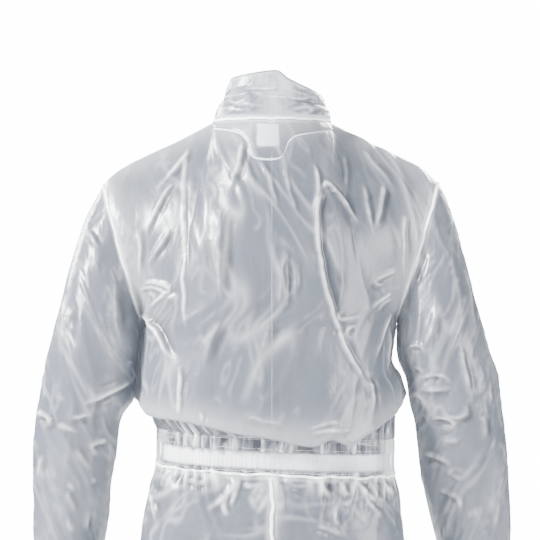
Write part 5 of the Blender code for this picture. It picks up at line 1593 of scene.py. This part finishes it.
class COVERALL_OT_sleeves(bpy.types.Operator):
    """Make the sleeves, their cuffs and the armhole tapes"""
    bl_idname = "coverall.sleeves"
    bl_label = "Sleeves"

    def execute(self, context):
        trim = context.scene.coverall_trim
        pitch = context.scene.coverall_film.pitch * 0.88
        shares = np.linspace(0, 1, columns_for(SLEEVE_GIRTH, pitch))
        steps = np.linspace(0, SLEEVE_BAND_ROW - 0.02, columns_for(SLEEVE_LENGTH, pitch))
        closing = smooth(steps, SLEEVE_BAND_ROW - 2.2, SLEEVE_BAND_ROW)[:, None]
        for side, name in SIDES:
            base = np.array([points(sleeve(side, shares, row)) for row in steps])
            sheet = self.shape(side, base)
            grid = spread(sheet.finish(edge_gap(base), 0.010), closing * cuff_wave(shares))
            grid[0] += armhole_away(side) * 0.0006
            thing = grid_object(f"sleeve_film_{name}", grid, fields=sheet.fields())
            clothe(thing, shared("film_sleeves", film_material, None, 7.0),
                   f"sleeve_{name}")
            self.cuff(side, name)
            self.armhole_tape(trim, side, name)
        return {"FINISHED"}

    def shape(self, side, base):
        """A sleeve's film with its folds raised: most at the elbow and above the cuff."""
        sheet = Sheet(base, 61 + 40 * side)
        sheet.add_swell(0.10, 0.14, 0.0030)
        sheet.add_swell(0.045, 0.06, 0.0016)
        sheet.add_crinkles(0.050, 0.140, 0.0022, 0.18, 0.15)
        elbow = np.exp(-((sheet.down - ELBOW_DOWN) / 0.15) ** 2)
        cuff = smooth(sheet.down, sheet.down.max() - 0.12, sheet.down.max())
        sheet.add_bends(0.25 + 0.75 * elbow + 0.8 * cuff, 0.35,
                        (0.090, 0.028, 0.0044, 0.28, 0.6), (0.060, 0.018, 0.0020, 0.22, -0.5))
        sheet.add_crinkles(0.020, 0.030, 0.0008, 0.22, 0.2)
        sheet.add_creases(LEFT_SLEEVE_CREASES if side == LEFT else RIGHT_SLEEVE_CREASES, 1)
        if side == LEFT:
            inner = smooth(-sheet.facing[..., 0], 0.4, 0.9)
            beside = np.exp(-((base[..., 2] + SLIT_DROP) / 0.030) ** 2)
            sheet.height += 0.0045 * inner * beside
        sheet.add_seam_band(edge_gap(base, bottom=False), 0.0050, 0.35)
        noise = ripple(sheet.across / 0.018, sheet.down / 0.07, 7 + side)
        sheet.add_puckers(noise, 0.0020, np.exp(-sheet.down / 0.02))
        return sheet

    def cuff(self, side, name):
        shares = np.arange(220) / 220
        steps = np.linspace(SLEEVE_BAND_ROW, SLEEVE_END_ROW, 13)
        base = np.array([points(sleeve(side, shares, row)) for row in steps])
        thing = band_object("cuff", name, spread(base, cuff_wave(shares)))

    def armhole_tape(self, trim, side, name):
        shares = np.arange(180) / 180
        path = points(sleeve(side, shares, 0))
        out = path - path.mean(axis=0)
        away = armhole_away(side)
        out = unit(out - (out @ away)[:, None] * away)
        turn = 2 * math.pi * shares
        wobble = 0.0005 * np.sin(turn * 9) + 0.0003 * np.sin(turn * 23)
        path = path + out * 0.0010 + away * (wobble[:, None] - 0.0006)
        thing = tape_object(f"armhole_tape_{name}", path, out, trim.tape_half_width,
                            trim.tape_half_wall, True)
        clothe(thing, seam_tape(), f"armhole_binding_{name}")
        line = path + out * trim.tape_half_wall * 0.8 + away * 0.0011
        stitch_rows(f"armhole_stitches_{name}", [np.concatenate((line, line[:1]))])


def band_object(kind, name, grid):
    """A short closed tube of film gathered over elastic, with its rows of stitches."""
    wave = np.linalg.norm(grid - grid.mean(axis=1, keepdims=True), axis=2)
    mean = sum(np.roll(wave, k, axis=1) for k in range(-8, 9)) / 17
    frost = np.clip((wave - mean) / 0.002, 0, 0.6) + 0.15
    thing = grid_object(f"{kind}_band_{name}", grid, wrap=True, fields={"frost": frost})
    clothe(thing, shared("film_bands", film_material, 0.80, 12.0), f"{kind}_{name}")
    rows = [band_row(grid, share) for share in BAND_STITCHES]
    stitch_rows(f"{kind}_stitches_{name}", rows)
    return thing


def band_row(grid, share):
    """A closed path round a band, just outside its film."""
    row = grid[int(share * (len(grid) - 1))]
    row = row + unit(row - row.mean(axis=0)) * 0.0003
    return np.concatenate((row, row[:1]))


# ---------------------------------------------------------------- legs


class COVERALL_OT_legs(bpy.types.Operator):
    """Make the legs, ankle bands and the seat seam"""
    bl_idname = "coverall.legs"
    bl_label = "Legs"

    def execute(self, context):
        pitch = context.scene.coverall_film.pitch
        shares = np.linspace(0, 1, columns_for(LEG_GIRTH, pitch * 0.95))
        seat_rows = columns_for(SEAT_LENGTH, pitch * 0.80)
        downs = np.linspace(SEAM / (CROTCH_DROP + CASING_BOTTOM), 1, seat_rows)
        leg_rows = columns_for(LEG_LENGTH, pitch * 2.1)
        drops = np.linspace(CROTCH_DROP, ANKLE_TOP - SEAM, leg_rows)[1:]
        for side, name in SIDES:
            rows = [points(hips(side, shares, down)) for down in downs]
            rows += [points(leg(side, shares, drop)) for drop in drops]
            base = np.array(rows)
            sheet = self.shape(side, base)
            grid = self.gathered(sheet, sheet.finish(edge_gap(base), 0.012), side, shares)
            closing = smooth(-base[:, :1, 2], 1.385, ANKLE_TOP)
            grid = spread(grid, closing * ankle_wave(shares))
            thing = grid_object(f"leg_film_{name}", grid, fields=sheet.fields())
            clothe(thing, shared("film_legs", film_material, None, 9.0),
                   f"leg_{name}")
            self.ankle(side, name)
        self.seat_seam(context.scene.coverall_trim)
        return {"FINISHED"}

    def shape(self, side, base):
        """A leg's film with its folds raised: most at the knee and above the ankle band."""
        sheet = Sheet(base, 331 + 40 * side)
        sheet.add_swell(0.14, 0.20, 0.0040)
        sheet.add_swell(0.05, 0.08, 0.0016)
        sheet.add_crinkles(0.060, 0.200, 0.0034, 0.25, 0.12)
        knee = np.exp(-((base[..., 2] + KNEE_DROP) / 0.09) ** 2)
        ankle = smooth(-base[..., 2], 1.25, 1.40)
        sheet.add_bends(0.15 + 0.75 * knee + 0.8 * ankle, 0.45,
                        (0.110, 0.034, 0.0058, 0.32, 0.5), (0.070, 0.022, 0.0026, 0.26, -0.5))
        sheet.add_crinkles(0.022, 0.040, 0.0008, 0.22, 0.2)
        sheet.add_creases(SEAT_CREASES, 1)
        sheet.add_creases(LAP_CREASES, -1)
        sheet.add_seam_band(edge_gap(base, bottom=False), 0.0060, 0.40)
        return sheet

    def gathered(self, sheet, grid, side, shares):
        """Gathers below the waist that lean and die away down the film, with painted shade in their
        valleys.
        """
        turn = mirrored(math.pi * (shares - 0.5), side)
        below = sheet.down
        reach = HIP_GATHER_LENGTH * (1 + 0.5 * ripple(shares * 9, shares * 0 + 0.5, 5))
        fade = np.exp(-(below / reach) ** 1.4)
        lean = 2.2 * below * np.sin(3 * turn + 1)
        fine = pleats(turn + 0.6 * lean, grid[..., 2]) * np.exp(-(below / 0.03) ** 1.5)
        wave = waist_wave(turn + lean) * fade + 0.0014 * fine
        ridge = np.maximum(0.9 * fine ** 2, 0.8 * smooth(wave / WAIST_GATHER, 0.5, 1.1))
        sheet.frost = np.maximum(sheet.frost, ridge)
        # painted shade in the valleys between the gathers
        sheet.shade = np.maximum(sheet.shade, 0.8 * smooth(-wave / WAIST_GATHER, 0.0, 0.9))
        return grid + unit(levelled(grid)) * wave[..., None]

    def ankle(self, side, name):
        shares = np.arange(260) / 260
        drops = np.linspace(ANKLE_TOP, ANKLE_BOTTOM, 12)
        base = np.array([points(leg(side, shares, drop)) for drop in drops])
        thing = band_object("ankle", name, spread(base, ankle_wave(shares)))

    def seat_seam(self, trim):
        downs = np.linspace(0.0155, 0.97, 150)
        path = np.array([points(hips(LEFT, np.array(1.0), down)) for down in downs])
        path[:, 0] = 0
        away = unit(np.gradient(path, axis=0)[:, (0, 2, 1)] * (0, -1, 1))
        path = path + away * (trim.tape_half_wall + 0.0006)
        path[:, 1] += WAIST_GATHER * 0.8 * np.exp(-downs / 0.08)
        path[:, 0] += 0.0018 * np.sin(downs * 31) * np.exp(-downs * 2) + 0.0006 * np.sin(downs * 70)
        thing = tape_object("seat_seam_tape", path, away, 0.0024, trim.tape_half_wall)
        clothe(thing, seam_tape(), "seat_seam_binding")
        line = path + away * trim.tape_half_wall
        rows = [line + np.array((x, 0, 0)) for x in (-0.0012, 0.0012)]
        stitch_rows("seat_seam_stitches", rows)


# ---------------------------------------------------------------- neck


class COVERALL_OT_neck(bpy.types.Operator):
    """Make the collar, the facing inside the neck, its tapes and the label"""
    bl_idname = "coverall.neck"
    bl_label = "Neck"

    def execute(self, context):
        trim = context.scene.coverall_trim
        self.collar()
        self.neck_seam(trim)
        self.facing()
        self.label()
        return {"FINISHED"}

    def collar(self):
        angles = np.linspace(-math.pi / 2, 3 * math.pi / 2, 300)
        base = np.array([points(collar(angles, height)) for height in np.linspace(0, 1, 42)])
        sheet = Sheet(base, 401)
        below_edge = sheet.down[-1:] - sheet.down
        sheet.add_crinkles(0.060, 0.016, 0.0016, 0.45, 0.3)
        sheet.add_crinkles(0.030, 0.012, 0.0009, 0.35, -0.4)
        sheet.add_crinkles(0.016, 0.016, 0.0005, 0.25)
        sheet.add_creases(COLLAR_CREASES, 1)
        sheet.add_seam_band(sheet.down, 0.0060, 0.45)
        sheet.add_seam_band(below_edge, 0.0050, 0.30)
        gap = edge_gap(base, top=False, bottom=False)
        grid = sheet.finish(np.minimum(gap, np.minimum(sheet.down, below_edge * 1.5)), 0.006)
        film = shared("film_collar", film_material, 0.93, 5.0)
        thing = grid_object("collar_film", grid, fields=sheet.fields())
        clothe(thing, film, "collar")
        away = points((np.cos(angles), np.sin(angles), 0))
        fold = tape_object("collar_edge_fold", grid[-1, 2:-2], away[2:-2], 0.0009, 0.0007, sides=8)
        clothe(fold, film)

    def neck_seam(self, trim):
        angles = np.linspace(-math.pi / 2 + 0.06, 3 * math.pi / 2 - 0.06, 260)
        away = points((np.cos(angles), np.sin(angles), 0))
        path = points(neck_curve(angles)) + away * 0.0014
        path[:, 2] += 0.0010 + 0.0004 * np.sin(angles * 11) + 0.0003 * np.sin(angles * 27)
        tape = tape_object("neck_seam_tape", path, away, trim.tape_half_width * 0.85,
                           trim.tape_half_wall)
        clothe(tape, seam_tape(), "collar_seam_binding")
        rows = [path + away * trim.tape_half_wall + np.array((0, 0, -0.0009))]
        stitch_rows("neck_seam_stitches", rows)

    def facing(self):
        turns, depth = facing_edge()
        shares = np.linspace(0.0012, 1, 26)
        start = 0.0012
        grid = np.array([under_back(turns, start + (depth - start) * share, FACING_UNDER)[0]
                         for share in shares])
        sheet = Sheet(grid, 431)
        sheet.add_crinkles(0.020, 0.020, 0.0004, 0.3)
        start, end = LABEL_TURN
        beside = smooth(turns, start - 2, start) * (1 - smooth(turns, end, end + 2))
        sheet.touch = np.broadcast_to(beside, grid.shape[:2])
        thing = grid_object("neck_facing_film", sheet.finish(edge_gap(grid), 0.006),
                            fields=sheet.fields(), outward=(0, 1, 0.5))
        clothe(thing, shared("film_facing", film_material, 0.42, 2.0),
               "neck_facing")
        path, facing = under_back(turns, depth + TAPE_BELOW, 0.0012)
        tape = tape_object("neck_facing_tape", path, facing, 0.0018, 0.0006)
        clothe(tape, seam_tape(), "neck_facing_binding")

    def label(self):
        turns = np.linspace(*LABEL_TURN, 24)
        depths = np.linspace(*LABEL_DEPTH, 28)
        curl = 0.0010 * np.sin(np.linspace(0, 5, 28)) ** 2
        rows = [under_back(turns, d, LABEL_UNDER + c)[0] for d, c in zip(depths, curl)]
        thing = grid_object("size_label_cloth", np.array(rows), outward=(0, 1, 0.5))
        thicken(thing, 0.0004)
        white = (0.93, 0.94, 0.96)
        clothe(thing, shared("label_satin", woven_material, white, 0.0005, 0.00008, 0.4),
               "size_label")


# ---------------------------------------------------------------- front zip


def centre_front():
    """The garment's outer profile along the zip, from the collar's edge down."""
    turn = np.array(ZIP_TURN)
    profile = [points(collar(turn, height)) for height in np.linspace(ZIP_TOP, 0, 20)]
    profile += [points(yoke(turn, down)) for down in np.linspace(0, 1, 80)[1:]]
    profile += [points(blouse(turn, fall)) for fall in np.linspace(0, 1, 50)[1:]]
    profile += [points(roll(turn, ROLL_END))]
    profile += [points(waist(turn, z, 0.0)) for z in np.linspace(CASING_TOP, CASING_BOTTOM, 12)]
    for drop in np.linspace(0.525, ZIP_END_DROP, 40):
        down = (drop + CASING_BOTTOM) / (CROTCH_DROP + CASING_BOTTOM)
        profile.append(points(hips(LEFT, np.array(0.0), down)))
    profile = np.array(profile)
    profile[:, 0] = 0
    along = path_lengths(profile)
    even = np.linspace(0, along[-1], 260)
    profile = np.stack([np.interp(even, along, profile[:, k]) for k in range(3)], axis=1)
    for _ in range(3):
        profile[1:-1] = (profile[:-2] + 2 * profile[1:-1] + profile[2:]) / 4
    return profile, unit(np.gradient(profile, axis=0)[:, (0, 2, 1)] * (0, 1, -1))


class COVERALL_OT_zip(bpy.types.Operator):
    """Make the zip's tapes and teeth, and finish its slider and pull"""
    bl_idname = "coverall.zip"
    bl_label = "Front zip"

    def execute(self, context):
        profile, facing = centre_front()
        weave = shared("zip_tape_weave", woven_material, (0.90, 0.91, 0.93), 0.0008, 0.00015)
        for side, name in SIDES:
            rows = [profile - facing * ZIP_TAPE_UNDER + np.array((side * x, 0, 0))
                    for x in np.linspace(0.0006, 0.0110, 7)]
            thing = grid_object(f"zip_tape_cloth_{name}", np.array(rows), outward=(0, -1, 0))
            thicken(thing, 0.0006)
            clothe(thing, weave, f"zip_tape_{name}")
        self.teeth(context.scene.coverall_zip, profile, facing)
        metal = solid_material("zip_metal", (0.76, 0.77, 0.79), 0.26, 1.0, 300.0)
        for name in ("zip_slider", "zip_pull"):
            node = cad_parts[name]
            node.data.materials.clear()
            node.data.materials.append(metal)
        return {"FINISHED"}

    def teeth(self, settings, profile, facing):
        """Two rows of teeth, the second half a pitch on from the first."""
        plastic = solid_material("zip_teeth_plastic", (0.86, 0.87, 0.89), 0.28)
        half = settings.tooth_pitch / 2 / PROFILE_STEP
        keys = np.arange(len(profile))
        shifted = np.stack([np.interp(keys[:-1] + half, keys, profile[:, k]) for k in range(3)],
                           axis=1)
        paths = [profile - facing * TEETH_UNDER + np.array((-TOOTH_REACH, 0, 0)),
                 shifted - facing[:-1] * TEETH_UNDER + np.array((TOOTH_REACH, 0, 0))]
        thing = grown("zip_teeth", paths, {
            "Pitch": settings.tooth_pitch, "Width": settings.tooth_width, "Wall": 0.0018,
            "Length": settings.tooth_height, "Sides": settings.tooth_sides, "Rings": 5,
            "Material": plastic})
        clothe(thing, plastic, "zip_chain")


# ---------------------------------------------------------------- stage


def add_light(name, place, size, watts):
    """A square light that looks at the garment."""
    light = bpy.data.lights.new(name, "AREA")
    light.energy = watts
    light.size = size
    thing = bpy.data.objects.new(name, light)
    thing.location = place
    way = Vector(LIT_PLACE) - Vector(place)
    thing.rotation_euler = way.to_track_quat("-Z", "Y").to_euler()
    bpy.context.scene.collection.objects.link(thing)


class COVERALL_OT_stage(bpy.types.Operator):
    """Make the floor, the lights and the camera"""
    bl_idname = "coverall.stage"
    bl_label = "Stage"

    def execute(self, context):
        settings = context.scene.coverall_stage
        self.camera(context, settings)
        self.floor(settings)
        add_light("key_light", (2.9, 1.5, 1.5), 0.9, settings.key)
        add_light("fill_light", (-2.6, 1.9, 0.1), 1.8, settings.fill)
        add_light("front_light", (-1.6, -2.8, 1.4), 1.6, settings.key * 0.36)
        add_light("rim_light", (1.9, -1.6, 0.6), 0.8, settings.fill * 0.8)
        world = bpy.data.worlds.new("studio")
        world.use_nodes = True
        nodes = Nodes(world.node_tree)
        sky = world.node_tree.nodes["Background"]
        nodes.put(sky.inputs["Color"], (0.96, 0.975, 1.0, 1))
        seen = nodes.add("ShaderNodeLightPath").outputs["Is Camera Ray"]
        strength = nodes.maths("MULTIPLY_ADD", seen, settings.backdrop - settings.sky,
                               settings.sky)
        nodes.put(sky.inputs["Strength"], strength)
        context.scene.world = world
        return {"FINISHED"}

    def camera(self, context, settings):
        camera = bpy.data.cameras.new("camera")
        camera.sensor_width = 36
        camera.lens = camera.sensor_width * settings.distance / settings.view_width
        camera.clip_end = 100
        thing = bpy.data.objects.new("camera", camera)
        across, up = CAMERA_MIDDLE
        thing.location = (across * STEP, BACK_REACH + settings.distance, up * STEP)
        thing.rotation_euler = (math.pi / 2, 0, math.pi)
        context.scene.collection.objects.link(thing)
        context.scene.camera = thing

    def floor(self, settings):
        bpy.ops.mesh.primitive_circle_add(vertices=96, radius=6.0, fill_type="NGON",
                                          location=(0, 0, FLOOR_HEIGHT))
        floor = bpy.context.object
        floor.name = "floor"
        material = solid_material("floor_pale", tuple(settings.floor_colour), 0.6, 0.0, 6.0, 0.0)
        floor.data.materials.append(material)


class COVERALL_PT_panel(bpy.types.Panel):
    """Lists the coverall's pieces"""
    bl_idname = "COVERALL_PT_panel"
    bl_label = "Rain coverall"
    bl_space_type = "VIEW_3D"
    bl_region_type = "UI"
    bl_category = "Coverall"

    def draw(self, context):
        scene = context.scene
        for settings in (scene.coverall_film, scene.coverall_trim, scene.coverall_zip,
                         scene.coverall_stage):
            box = self.layout.box()
            for name in settings.__annotations__:
                box.prop(settings, name)
        for operator in OPERATORS:
            self.layout.operator(operator.bl_idname)


GROUPS = {"coverall_film": CoverallFilm, "coverall_trim": CoverallTrim,
          "coverall_zip": CoverallZip, "coverall_stage": CoverallStage}
OPERATORS = (COVERALL_OT_stage, COVERALL_OT_back, COVERALL_OT_fronts, COVERALL_OT_waist,
             COVERALL_OT_sleeves, COVERALL_OT_legs, COVERALL_OT_neck, COVERALL_OT_zip)
CLASSES = (*GROUPS.values(), *OPERATORS, COVERALL_PT_panel)


def register():
    for item in CLASSES:
        bpy.utils.register_class(item)
    for name, group in GROUPS.items():
        setattr(bpy.types.Scene, name, PointerProperty(type=group))


def unregister():
    for name in GROUPS:
        delattr(bpy.types.Scene, name)
    for item in reversed(CLASSES):
        bpy.utils.unregister_class(item)


def main():
    register()
    bpy.ops.coverall.stage()
    bpy.ops.coverall.back()
    bpy.ops.coverall.fronts()
    bpy.ops.coverall.waist()
    bpy.ops.coverall.sleeves()
    bpy.ops.coverall.legs()
    bpy.ops.coverall.neck()
    bpy.ops.coverall.zip()


if __name__ == "__main__":
    main()
